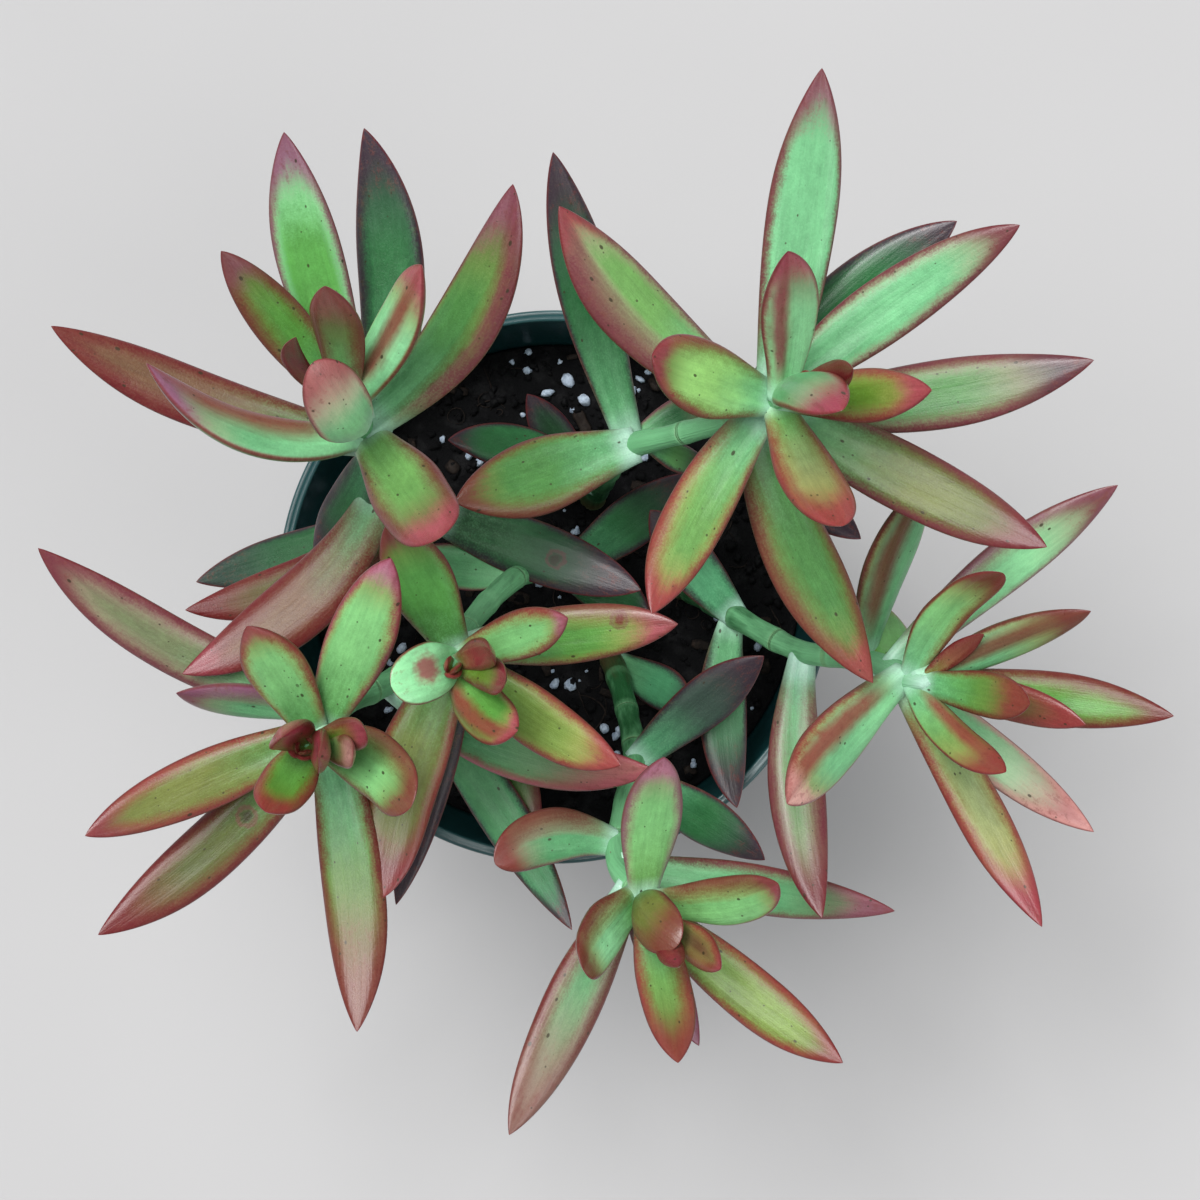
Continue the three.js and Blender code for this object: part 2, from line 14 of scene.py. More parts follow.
import bmesh
import bpy
import numpy as np
from mathutils import Vector, noise
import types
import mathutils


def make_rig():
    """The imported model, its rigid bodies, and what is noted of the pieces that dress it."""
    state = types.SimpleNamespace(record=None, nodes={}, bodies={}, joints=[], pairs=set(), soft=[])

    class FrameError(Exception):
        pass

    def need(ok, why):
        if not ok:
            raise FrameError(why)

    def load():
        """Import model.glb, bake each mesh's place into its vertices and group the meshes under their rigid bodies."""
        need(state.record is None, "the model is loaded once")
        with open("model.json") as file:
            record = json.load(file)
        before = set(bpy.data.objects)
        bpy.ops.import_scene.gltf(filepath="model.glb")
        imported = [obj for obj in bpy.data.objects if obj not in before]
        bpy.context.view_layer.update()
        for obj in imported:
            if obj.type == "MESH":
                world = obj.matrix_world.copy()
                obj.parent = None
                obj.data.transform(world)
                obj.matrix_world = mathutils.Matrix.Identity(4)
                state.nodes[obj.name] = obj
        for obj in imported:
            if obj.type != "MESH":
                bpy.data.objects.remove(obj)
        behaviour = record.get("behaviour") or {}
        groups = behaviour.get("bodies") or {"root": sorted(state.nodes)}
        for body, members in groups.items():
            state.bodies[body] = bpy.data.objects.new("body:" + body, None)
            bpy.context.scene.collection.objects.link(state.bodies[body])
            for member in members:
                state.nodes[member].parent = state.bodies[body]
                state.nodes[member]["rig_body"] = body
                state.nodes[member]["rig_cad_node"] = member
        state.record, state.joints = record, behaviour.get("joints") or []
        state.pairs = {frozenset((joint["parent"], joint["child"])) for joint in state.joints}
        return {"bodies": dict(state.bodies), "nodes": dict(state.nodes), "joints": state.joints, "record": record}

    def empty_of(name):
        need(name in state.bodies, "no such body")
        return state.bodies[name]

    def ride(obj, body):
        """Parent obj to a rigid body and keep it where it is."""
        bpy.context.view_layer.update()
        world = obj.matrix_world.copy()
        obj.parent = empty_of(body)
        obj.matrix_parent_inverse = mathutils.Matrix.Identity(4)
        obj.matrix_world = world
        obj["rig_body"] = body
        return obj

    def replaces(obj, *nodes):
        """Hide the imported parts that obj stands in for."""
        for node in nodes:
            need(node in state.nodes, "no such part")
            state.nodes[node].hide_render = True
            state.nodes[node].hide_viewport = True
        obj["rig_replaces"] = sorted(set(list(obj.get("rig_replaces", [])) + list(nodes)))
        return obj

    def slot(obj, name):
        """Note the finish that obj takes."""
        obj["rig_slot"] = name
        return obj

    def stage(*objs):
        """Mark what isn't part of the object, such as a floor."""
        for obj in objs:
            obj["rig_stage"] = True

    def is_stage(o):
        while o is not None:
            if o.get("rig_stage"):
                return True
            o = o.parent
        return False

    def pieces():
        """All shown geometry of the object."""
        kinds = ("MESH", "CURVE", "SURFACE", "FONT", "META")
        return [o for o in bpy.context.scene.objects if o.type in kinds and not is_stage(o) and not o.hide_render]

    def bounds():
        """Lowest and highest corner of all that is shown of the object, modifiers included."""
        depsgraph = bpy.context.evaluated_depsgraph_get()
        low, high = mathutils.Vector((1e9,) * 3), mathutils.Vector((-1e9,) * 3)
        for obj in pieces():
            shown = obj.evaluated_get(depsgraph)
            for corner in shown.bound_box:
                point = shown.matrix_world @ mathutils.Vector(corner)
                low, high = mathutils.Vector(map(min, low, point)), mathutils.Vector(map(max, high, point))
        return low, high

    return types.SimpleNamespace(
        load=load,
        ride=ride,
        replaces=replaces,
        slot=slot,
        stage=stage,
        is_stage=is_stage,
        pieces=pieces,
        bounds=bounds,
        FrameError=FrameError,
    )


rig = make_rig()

Array = np.ndarray
Color = tuple[float, float, float]
Triple = tuple[float, float, float]

LOG = logging.getLogger("sedum")
BODY = "root"
MM = 0.001
UP = np.array([0.0, 0.0, 1.0])
TONE_DEPTH = 1.14


# Colours


def linear(channel: float) -> float:
    """Turns one display channel from 0 to 1 into linear light."""
    return channel / 12.92 if channel <= 0.04045 else ((channel + 0.055) / 1.055) ** 2.4


class Tone(Enum):
    """The colours that the plant, its soil and its pot are painted with, as display values."""

    FROST = 0xC0DED2
    PALE_MINT = 0x8ECA98
    MINT = 0x70AB7D
    CELADON = 0x5F9A6C
    COOL_MINT = 0x52926A
    APPLE = 0x80B87A
    SPRING = 0x70A864
    PEAR = 0x96C476
    CLOVER = 0x5C984E
    GRASS = 0x5A8E42
    LEAF_GREEN = 0x6A9454
    FERN = 0x4E7E44
    LIME = 0x788E48
    MOSS = 0x628230
    OLIVE = 0x6C723A
    DARK_OLIVE = 0x545A2C
    GOLD = 0x8E864E
    SAGE = 0x889266
    DUSTY = 0x928872
    TAUPE = 0x8C766A
    LICHEN = 0x6E7656
    ASH = 0xACA292
    BRONZE = 0x70523C
    UMBER = 0x723C32
    CORAL = 0x923D43
    BRICK = 0x843436
    CRIMSON = 0x6A2026
    WINE = 0x70323E
    ROSE = 0xA04C5C
    DUSKY_ROSE = 0x9A575A
    PINK = 0xAC7088
    RASPBERRY = 0x8E324C
    MAUVE = 0x804E5E
    VIOLET = 0x885472
    PLUM = 0x412F3C
    DUSK = 0x3B4C44
    DARK_GREEN = 0x30683E
    DEEP_GREEN = 0x23462B
    BLUSH = 0xC69892
    SPECK = 0x3A3220

    @property
    def rgb(self) -> Color:
        """The tone in linear light, made deeper because the skin's gloss adds light to it."""
        parts = (self.value >> 16 & 255, self.value >> 8 & 255, self.value & 255)
        return tuple(linear(part / 255) ** TONE_DEPTH for part in parts)


@dataclass(frozen=True)
class Colouring:
    """The tones of a leaf: at its foot, along its middle, beside the edge, on the edge and at the tip."""

    foot: Tone
    heart: Tone
    glow: Tone
    rim: Tone
    end: Tone


class Look(Enum):
    """Named leaf colourings."""

    SUNLIT = Colouring(Tone.MINT, Tone.LEAF_GREEN, Tone.GOLD, Tone.BRICK, Tone.CORAL)
    FRESH = Colouring(Tone.LEAF_GREEN, Tone.APPLE, Tone.GOLD, Tone.BRICK, Tone.ROSE)
    MEADOW = Colouring(Tone.CELADON, Tone.FERN, Tone.OLIVE, Tone.UMBER, Tone.ROSE)
    YELLOWED = Colouring(Tone.LEAF_GREEN, Tone.LIME, Tone.GOLD, Tone.BRICK, Tone.BRICK)
    TOASTED = Colouring(Tone.FERN, Tone.OLIVE, Tone.BRONZE, Tone.CRIMSON, Tone.UMBER)
    DUSTED = Colouring(Tone.MINT, Tone.DUSTY, Tone.DUSTY, Tone.BRICK, Tone.DUSKY_ROSE)
    COOL = Colouring(Tone.PALE_MINT, Tone.MINT, Tone.DUSTY, Tone.MAUVE, Tone.MAUVE)
    BACK = Colouring(Tone.PALE_MINT, Tone.PALE_MINT, Tone.DUSTY, Tone.BRICK, Tone.ROSE)
    # SHADED and SUNKEN colour leaves that lie under others or low in the pot: their dark greens, dusk and plum are
    # partly the leaves' own colour and partly painted shade.
    SHADED = Colouring(Tone.COOL_MINT, Tone.DARK_GREEN, Tone.DUSK, Tone.PLUM, Tone.PLUM)
    SUNKEN = Colouring(Tone.DARK_GREEN, Tone.DEEP_GREEN, Tone.DUSK, Tone.PLUM, Tone.PLUM)
    EMBER = Colouring(Tone.MINT, Tone.CELADON, Tone.GOLD, Tone.BRICK, Tone.BRICK)
    BUD = Colouring(Tone.MOSS, Tone.UMBER, Tone.CORAL, Tone.CRIMSON, Tone.ROSE)
    CROWN = Colouring(Tone.LIME, Tone.MOSS, Tone.OLIVE, Tone.BRICK, Tone.CORAL)


# Shader building


class Socket:
    """An output of a shader node that can be reckoned with as a number."""

    def __init__(self, recipe: "Recipe", output: bpy.types.NodeSocket) -> None:
        """Keeps the recipe that the output belongs to, and the output."""
        self.recipe = recipe
        self.output = output

    def _math(self, operation: str, *values: "Socket | float") -> "Socket":
        """A Math node over the given values."""
        return self.recipe.node("Math", {"operation": operation}, dict(enumerate(values)))

    def __add__(self, other: "Socket | float") -> "Socket":
        """self + other"""
        return self._math("ADD", self, other)

    __radd__ = __add__

    def __sub__(self, other: "Socket | float") -> "Socket":
        """self - other"""
        return self._math("SUBTRACT", self, other)

    def __rsub__(self, other: "Socket | float") -> "Socket":
        """other - self"""
        return self._math("SUBTRACT", other, self)

    def __mul__(self, other: "Socket | float") -> "Socket":
        """self * other"""
        return self._math("MULTIPLY", self, other)

    __rmul__ = __mul__

    def __truediv__(self, other: "Socket | float") -> "Socket":
        """self / other"""
        return self._math("DIVIDE", self, other)

    def __pow__(self, other: float) -> "Socket":
        """self ** other"""
        return self._math("POWER", self, other)

    def __abs__(self) -> "Socket":
        """abs(self)"""
        return self._math("ABSOLUTE", self)

    def __or__(self, other: "Socket | float") -> "Socket":
        """The larger of the two, which joins two masks."""
        return self._math("MAXIMUM", self, other)

    def rise(self, low: "Socket | float", high: "Socket | float") -> "Socket":
        """A smooth step of this value.

        Args:
            low: The value at which the step is still 0.
            high: The value at which it has reached 1.

        Returns:
            The step, from 0 to 1.
        """
        settings = {"interpolation_type": "SMOOTHSTEP"}
        values = {"Value": self, "From Min": low, "From Max": high}
        return self.recipe.node("MapRange", settings, values)


class Recipe:
    """A material under construction."""

    def __init__(self, name: str) -> None:
        """Starts an empty material.

        Args:
            name: The material's name.
        """
        self.material = bpy.data.materials.new(name)
        self.material.use_nodes = True
        self.tree = self.material.node_tree
        self.tree.nodes.clear()

    def node(
        self,
        kind: str,
        settings: dict[str, object] | None = None,
        values: dict[str | int, object] | None = None,
        output: str | int = 0,
    ) -> Socket:
        """Adds a shader node.

        Args:
            kind: The node's type, without its "ShaderNode" prefix.
            settings: The node's own settings.
            values: Numbers, colours, vectors or sockets for the node's inputs.
            output: The output to hand back.

        Returns:
            The output as a socket.
        """
        made = self.tree.nodes.new("ShaderNode" + kind)
        for key, value in (settings or {}).items():
            setattr(made, key, value)
        for key, value in (values or {}).items():
            if isinstance(value, Socket):
                self.tree.links.new(value.output, made.inputs[key])
            else:
                made.inputs[key].default_value = value
        return Socket(self, made.outputs[output])

    def mix(self, share: Socket | float, one: object, other: object) -> Socket:
        """Mixes two colours.

        Args:
            share: How much of the second colour there is.
            one: The first colour, as a socket or linear values.
            other: The second colour.

        Returns:
            The mixed colour.
        """
        full = [c if isinstance(c, Socket) else (*c, 1.0) for c in (one, other)]
        settings = {"data_type": "RGBA", "clamp_factor": True}
        return self.node("Mix", settings, {0: share, 6: full[0], 7: full[1]}, 2)

    def shade(self, colour: Socket, amount: Socket) -> Socket:
        """Multiplies a colour by a number that varies over the surface.

        Args:
            colour: The colour.
            amount: What it is multiplied by.

        Returns:
            The shaded colour.
        """
        grey = self.node("CombineColor", None, {0: amount, 1: amount, 2: amount})
        settings = {"data_type": "RGBA", "blend_type": "MULTIPLY"}
        return self.node("Mix", settings, {0: 1.0, 6: colour, 7: grey}, 2)

    def attribute(self, name: str, output: str = "Vector") -> Socket:
        """Reads a value that is stored in the mesh."""
        return self.node("Attribute", {"attribute_name": name}, None, output)

    def split(self, vector: Socket) -> tuple[Socket, Socket, Socket]:
        """The three parts of a vector."""
        node = self.node("SeparateXYZ", None, {0: vector}).output.node
        return tuple(Socket(self, node.outputs[axis]) for axis in range(3))

    def stretched(self, vector: Socket, scale: Triple) -> Socket:
        """A vector multiplied part by part."""
        return self.node("VectorMath", {"operation": "MULTIPLY"}, {0: vector, 1: scale})

    def noise(self, vector: Socket, scale: float, detail: float = 3.0, rough: float = 0.55) -> Socket:
        """A cloudy pattern.

        Args:
            vector: Where on the surface to read it.
            scale: How many clouds there are in one unit.
            detail: How many finer layers it has.
            rough: How strong the finer layers are.

        Returns:
            The pattern, from about 0.2 to 0.8.
        """
        values = {"Vector": vector, "Scale": scale, "Detail": detail, "Roughness": rough}
        return self.node("TexNoise", None, values)

    def spots(self, vector: Socket, scale: float, few: Socket | float, size: float) -> Socket:
        """Scattered small spots.

        Args:
            vector: Where on the surface to read them.
            scale: How many cells there are in one unit.
            few: The share of the cells that stay empty.
            size: The radius of a spot, as a share of a cell.

        Returns:
            A mask that is 1 in a spot.
        """
        cell = self.node("TexVoronoi", None, {"Vector": vector, "Scale": scale}, "Distance")
        shade = Socket(self, cell.output.node.outputs["Color"])
        chance, share, _ = self.split(shade)
        radius = size * (0.5 + share)
        return (1 - cell.rise(radius * 0.6, radius)) * chance.rise(few, few + 0.02)

    def finish(
        self, colour: Socket, rough: Socket | float, height: Socket, depth: float, **plain: object
    ) -> None:
        """Closes the material.

        Args:
            colour: The base colour.
            rough: The roughness.
            height: The relief, from 0 to 1.
            depth: The depth of the relief in metres.
            **plain: Values for the shader's other inputs, with _ for a space.
        """
        bump = self.node("Bump", None, {"Strength": 1.0, "Distance": depth, "Height": height})
        values = {"Base Color": colour, "Roughness": rough, "Normal": bump}
        values |= {key.replace("_", " "): value for key, value in plain.items()}
        shader = self.node("BsdfPrincipled", None, values)
        self.node_output(shader)

    def node_output(self, shader: Socket) -> None:
        """Links the shader to the material's output."""
        made = self.tree.nodes.new("ShaderNodeOutputMaterial")
        self.tree.links.new(shader.output, made.inputs["Surface"])


# Finishes


@dataclass(frozen=True)
class LeafSkin:
    """The waxy skin of a leaf, painted from the tones and the places that its mesh holds."""

    name: str
    roughness: float = 0.38
    wax: float = 0.2
    speck_share: float = 0.5
    relief: float = 0.0002

    def material(self) -> bpy.types.Material:
        """Makes the material.

        Returns:
            The finished material.
        """
        r = Recipe(self.name)
        along, across, upper = r.split(r.attribute("leaf_place"))
        span = r.attribute("leaf_span")
        inset, half, _ = r.split(r.attribute("leaf_edge"))
        left, right, point = r.split(r.attribute("leaf_reach"))
        cloud = r.noise(r.stretched(span, (0.14, 0.22, 1.0)), 1.0, 3.0) - 0.5
        blotch = r.noise(r.stretched(span, (0.55, 0.9, 1.0)), 1.0, 3.0, 0.6) - 0.5
        grain = r.noise(r.stretched(span, (0.09, 1.7, 1.0)), 1.0, 2.0, 0.6) - 0.5
        dust = r.noise(span, 3.2, 2.0, 0.7) - 0.5

        side = across.rise(-0.25, 0.25)
        band = (left * (1 - side) + right * side) * (0.62 + 0.82 * along)
        ragged = cloud * 1.1 + blotch * 1.0 + grain * 0.5 + dust * 1.4
        inward = inset + ragged * band.rise(0.0, 1.2)
        started = (along + cloud * 0.2).rise(0.0, 0.3)
        rim = (1 - inward.rise(band * 0.1, band * 1.5)) * started
        beside = (1 - inward.rise(band * 0.6, band * 2.5)) * started
        reached = along + cloud * 0.12 + blotch * 0.07 + dust * 0.08 + across * across * 0.06
        end = reached.rise(1.0 - point * 1.4, 1.0 - point * 0.4)
        before = reached.rise(1.0 - point * 2.3, 1.0 - point * 0.9)
        foot = 1 - (along + cloud * 0.25).rise(0.02, 0.55)
        heel = (1 - (along + cloud * 0.08).rise(0.0, 0.16)) * half.rise(1.0, 2.0)

        rim_tone = r.attribute("rim_tone", "Color")
        colour = r.mix(foot, r.attribute("heart_tone", "Color"), r.attribute("foot_tone", "Color"))
        colour = r.shade(colour, 1.0 + cloud * 0.6 + blotch * 0.2)
        colour = r.mix((beside | before) * 0.65, colour, r.attribute("glow_tone", "Color"))
        colour = r.mix(end * 0.92, colour, r.attribute("end_tone", "Color"))
        colour = r.mix(rim * (0.94 - end * 0.4), colour, rim_tone)
        place, width, strength = r.split(r.attribute("leaf_ridge"))
        aside = abs(across - place) + cloud * 0.2 + blotch * 0.22 + grain * 0.08
        ridge = 1 - aside.rise(width * 0.15, width)
        ridge = ridge * strength * along.rise(0.04, 0.3) * (1 - end * 0.5)
        colour = r.mix(ridge * 0.88, colour, rim_tone)
        mottle = (rim | end | ridge) * (blotch + dust * 0.5).rise(0.0, 0.22)
        colour = r.mix(mottle * 0.5, colour, Tone.CRIMSON.rgb)
        line = (1 - inset.rise(0.03, 0.4)) * started
        colour = r.mix(line * 0.7, colour, Tone.CRIMSON.rgb)
        back = (1 - upper) * (1 - end * 0.7) * (1 - rim * 0.6)
        colour = r.mix(back * 0.45, colour, Tone.MINT.rgb)
        bloom = (dust + blotch * 0.6 + 0.6).rise(0.45, 0.95) * (0.03 + foot * 0.16)
        colour = r.mix(bloom, colour, Tone.PALE_MINT.rgb)
        colour = r.mix(heel * 0.65, colour, Tone.FROST.rgb)
        colour = r.shade(colour, 1.0 + grain * 0.36 + dust * 0.34 + blotch * 0.22)

        bare = 0.9 - (cloud + blotch * 0.3).rise(-0.02, 0.2) * self.speck_share * 0.5
        dashes = r.spots(r.stretched(span, (0.3, 0.5, 1.0)), 1.0, 1 - self.speck_share, 0.115)
        dots = r.spots(r.stretched(span, (0.85, 1.05, 1.0)), 1.0, bare, 0.17)
        specks = dashes | (dots * 0.85)
        colour = r.mix(specks * 0.85, colour, Tone.SPECK.rgb)
        scar, ring = self._scar(r, blotch)
        colour = r.mix(scar * 0.85, colour, r.attribute("mark_tone", "Color"))
        colour = r.mix(ring * 0.5, colour, Tone.WINE.rgb)

        rough = self.roughness + cloud * 0.14 + foot * 0.1 - end * 0.07 + dust * 0.12
        height = cloud * 0.9 + grain * 0.5 + dust * 0.3
        r.finish(
            colour,
            rough,
            height,
            self.relief,
            IOR=1.43,
            Specular_IOR_Level=0.3,
            Coat_Weight=self.wax + end * 0.1,
            Coat_Roughness=0.2,
        )
        return r.material

    @staticmethod
    def _scar(r: Recipe, blotch: Socket) -> tuple[Socket, Socket]:
        """Finds a healed mark.

        Args:
            r: The material's recipe.
            blotch: The clouds that make its outline uneven.

        Returns:
            The mask of its pit and that of the ring round it.
        """
        along, across, _ = r.split(r.attribute("leaf_span"))
        scar_along, scar_across, size = r.split(r.attribute("leaf_scar"))
        aside = across - scar_across
        ahead = along - scar_along
        gap = (aside * aside + ahead * ahead) ** 0.5 + blotch * (0.8 + size * 0.4)
        pit = 1 - gap.rise(size * 0.3, size * 0.85 + 0.0001)
        outside = gap.rise(size * 0.85, size * 1.15 + 0.0001)
        ring = (1 - outside) - (1 - gap.rise(size * 0.5, size * 0.8 + 0.0001))
        real = size.rise(0.01, 0.05)
        return pit * real, ring.rise(0.0, 1.0) * real * (1 - size.rise(2.0, 2.4))


@dataclass(frozen=True)
class StemSkin:
    """The smooth skin of a stem, paler at its joints and browner near the soil."""

    name: str = "stem_skin"
    roughness: float = 0.46
    relief: float = 0.00025
    wax: float = 0.08

    def material(self) -> bpy.types.Material:
        """Makes the material.

        Returns:
            The finished material.
        """
        r = Recipe(self.name)
        span = r.attribute("stem_span")
        joint, above, bare = r.split(r.attribute("stem_place"))
        cloud = r.noise(r.stretched(span, (0.2, 0.5, 0.5)), 1.0, 4.0) - 0.5
        streak = r.noise(r.stretched(span, (0.1, 2.2, 2.2)), 1.0, 3.0) - 0.5
        dust = r.noise(span, 2.6, 3.0, 0.7) - 0.5
        # The stem goes from dark green low down to mint higher up: the dark green low down is painted shade under the
        # rosettes.
        colour = r.mix((cloud + above).rise(0.15, 0.7), Tone.DARK_GREEN.rgb, Tone.MINT.rgb)
        woody = 1 - (above + cloud * 0.2).rise(-0.02, 0.16)
        colour = r.mix(woody * 0.7, colour, Tone.BRONZE.rgb)
        colour = r.mix(joint.rise(0.3, 0.95) * 0.28, colour, Tone.PALE_MINT.rgb)
        colour = r.mix((bare + cloud * 0.3 * bare) * 0.75, colour, Tone.FROST.rgb)
        crease = joint.rise(0.84, 0.93) * (1 - joint.rise(0.95, 0.995))
        colour = r.mix(crease * 0.28, colour, Tone.OLIVE.rgb)
        colour = r.shade(colour, 1.0 + cloud * 0.3 + streak * 0.4 + dust * 0.15)
        specks = r.spots(r.stretched(span, (0.5, 0.6, 0.6)), 1.0, 0.72, 0.1)
        colour = r.mix(specks * 0.6, colour, Tone.UMBER.rgb)
        height = cloud * 0.6 + streak * 0.8 + dust * 0.3 - specks * 0.4 - crease * 0.8
        r.finish(
            colour,
            self.roughness + cloud * 0.15 + dust * 0.12,
            height,
            self.relief,
            IOR=1.43,
            Coat_Weight=self.wax,
            Coat_Roughness=0.4,
        )
        return r.material


@dataclass(frozen=True)
class Earth:
    """Moist potting mix and what lies in it: a dark and a light tone, broken up by fine clouds."""

    name: str
    dark: Color
    light: Color
    grain: float = 900.0
    roughness: float = 0.85
    relief: float = 0.0006
    damp: float = 0.12

    def material(self) -> bpy.types.Material:
        """Makes the material.

        Returns:
            The finished material.
        """
        r = Recipe(self.name)
        place = r.node("TexCoord", None, None, "Object")
        cloud = r.noise(place, self.grain * 0.22, 4.0)
        fine = r.noise(place, self.grain, 5.0, 0.7)
        flecks = r.spots(place, self.grain * 0.7, 0.8, 0.3)
        colour = r.mix((cloud * 0.5 + fine * 0.6).rise(0.35, 0.75), self.dark, self.light)
        colour = r.mix(flecks * 0.35, colour, tuple(min(1.0, part * 2.2) for part in self.light))
        wet = cloud.rise(0.5, 0.62)
        height = cloud * 0.6 + fine * 0.7 + flecks * 0.2
        rough = self.roughness - wet * self.damp * 2.2 + fine * 0.08
        r.finish(colour, rough, height, self.relief, Specular_IOR_Level=0.18)
        return r.material


@dataclass(frozen=True)
class PotPlastic:
    """Dark teal moulded plastic with turned lines, scuffs, a film of dust and paler edges of wear and painted
    highlight.
    """

    name: str = "pot_plastic"
    deep: Color = (0.0035, 0.028, 0.031)
    bright: Color = (0.008, 0.07, 0.075)
    chalk: Color = (0.12, 0.19, 0.19)
    roughness: float = 0.36
    relief: float = 0.00007

    def material(self) -> bpy.types.Material:
        """Makes the material.

        Returns:
            The finished material.
        """
        r = Recipe(self.name)
        place = r.node("TexCoord", None, None, "Object")
        across, back, above = r.split(place)
        radius = (across * across + back * back) ** 0.5
        turned = r.node("CombineXYZ", None, {0: radius * 2.0, 1: above * 2.0, 2: 0.0})
        lines = r.noise(turned, 900.0, 2.0, 0.5) - 0.5
        cloud = r.noise(place, 60.0, 4.0) - 0.5
        fine = r.noise(place, 1400.0, 4.0, 0.65) - 0.5
        drawn = r.noise(r.stretched(place, (1.0, 1.0, 0.05)), 700.0, 3.0) - 0.5
        # Convex edges are painted paler towards chalk: partly wear on the edges, partly a painted highlight along
        # them.
        worn_and_highlit_edge = r.node("NewGeometry", None, None, "Pointiness").rise(0.505, 0.56)
        colour = r.mix((cloud * 0.5 + lines * 0.7).rise(-0.3, 0.35), self.deep, self.bright)
        dust = (cloud + fine * 0.7 + drawn * 0.4).rise(0.05, 0.5)
        colour = r.mix(dust * 0.14 + worn_and_highlit_edge * 0.3, colour, self.chalk)
        specks = r.spots(place, 420.0, 0.82, 0.16)
        colour = r.mix(specks * 0.5, colour, self.chalk)
        scratch = r.noise(r.stretched(place, (0.4, 0.4, 3.0)), 380.0, 3.0, 0.7).rise(0.64, 0.7)
        rough = self.roughness + dust * 0.2 + scratch * 0.14 + fine * 0.08
        height = lines * 0.6 + fine * 0.35 + drawn * 0.25 - scratch * 0.35
        r.finish(colour, rough, height, self.relief, IOR=1.49, Coat_Weight=0.1, Coat_Roughness=0.28)
        return r.material


@dataclass(frozen=True)
class PaleGround:
    """The plain pale floor that the pot stands on."""

    tone: Color = (0.35, 0.345, 0.345)

    def material(self) -> bpy.types.Material:
        """Makes the material.

        Returns:
            The finished material.
        """
        r = Recipe("pale_ground")
        place = r.node("TexCoord", None, None, "Object")
        cloud = r.noise(place, 4.0, 3.0)
        colour = r.mix(cloud.rise(0.3, 0.7), self.tone, tuple(part * 1.06 for part in self.tone))
        r.finish(colour, 0.8, cloud, 0.0001)
        return r.material


# Mesh helpers


def unit(vector: Array) -> Array:
    """The vector, or each row of vectors, at length one."""
    return vector / np.linalg.norm(vector, axis=-1, keepdims=True)


def new_piece(
    name: str, points: Array, faces: Sequence[Sequence[int]], finish: bpy.types.Material
) -> bpy.types.Object:
    """Makes a smooth mesh object that belongs to the plant's body.

    Args:
        name: The piece's name.
        points: The vertices in metres.
        faces: The corners of each face.
        finish: Its material.

    Returns:
        The object.
    """
    mesh = bpy.data.meshes.new(name)
    mesh.from_pydata(points.tolist(), [], [tuple(face) for face in faces])
    mesh.update()
    mesh.shade_smooth()
    mesh.materials.append(finish)
    piece = bpy.data.objects.new(name, mesh)
    bpy.context.scene.collection.objects.link(piece)
    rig.ride(piece, BODY)
    return piece


def store(piece: bpy.types.Object, name: str, values: Array) -> None:
    """Stores a vector for each vertex of the piece."""
    layer = piece.data.attributes.new(name, "FLOAT_VECTOR", "POINT")
    layer.data.foreach_set("vector", np.ascontiguousarray(values, np.float32).ravel())


def store_tone(piece: bpy.types.Object, name: str, tone: Tone) -> None:
    """Stores one colour for all vertices of a piece.

    Args:
        piece: The piece.
        name: The attribute's name.
        tone: The colour.
    """
    layer = piece.data.attributes.new(name, "FLOAT_COLOR", "POINT")
    row = np.array((*tone.rgb, 1.0), np.float32)
    layer.data.foreach_set("color", np.tile(row, len(piece.data.vertices)))


def tube_faces(rings: int, sides: int, tip: bool) -> list[tuple[int, ...]]:
    """The faces of a closed tube.

    Args:
        rings: How many rings of points it has.
        sides: How many points a ring has.
        tip: Whether one more point follows the last ring and closes it.

    Returns:
        The corners of each face, facing outwards where the rings turn to the right.
    """
    faces: list[tuple[int, ...]] = []
    for ring in range(rings - 1):
        for side in range(sides):
            here = ring * sides + side
            after = ring * sides + (side + 1) % sides
            faces.append((here, here + sides, after + sides, after))
    faces.append(tuple(range(sides)))
    last = (rings - 1) * sides
    if tip:
        faces += [(last + side, rings * sides, last + (side + 1) % sides) for side in range(sides)]
    else:
        faces.append(tuple(last + side for side in reversed(range(sides))))
    return faces


def strand_faces(number: int, rings: int, sides: int) -> list[tuple[int, ...]]:
    """The faces of one of many equal tubes whose vertices follow each other.

    Args:
        number: How many tubes come before it.
        rings: How many rings each tube has.
        sides: How many vertices each ring has.

    Returns:
        The corners of each face, facing outwards where the rings turn to the left.
    """
    start = number * rings * sides
    return [tuple(start + corner for corner in reversed(face)) for face in tube_faces(rings, sides, False)]


def oval(centre: Array, side: Array, over: Array, reach: Sequence[Array | float], angle: Array) -> Array:
    """Places points on an oval.

    Args:
        centre: Its centre.
        side: The direction of its width.
        over: The direction of its height.
        reach: Its half width and its half height.
        angle: How far round it each point lies.

    Returns:
        A row of x, y and z for each point.
    """
    wide, high = reach
    return centre + side * (wide * np.cos(angle))[:, None] + over * (high * np.sin(angle))[:, None]


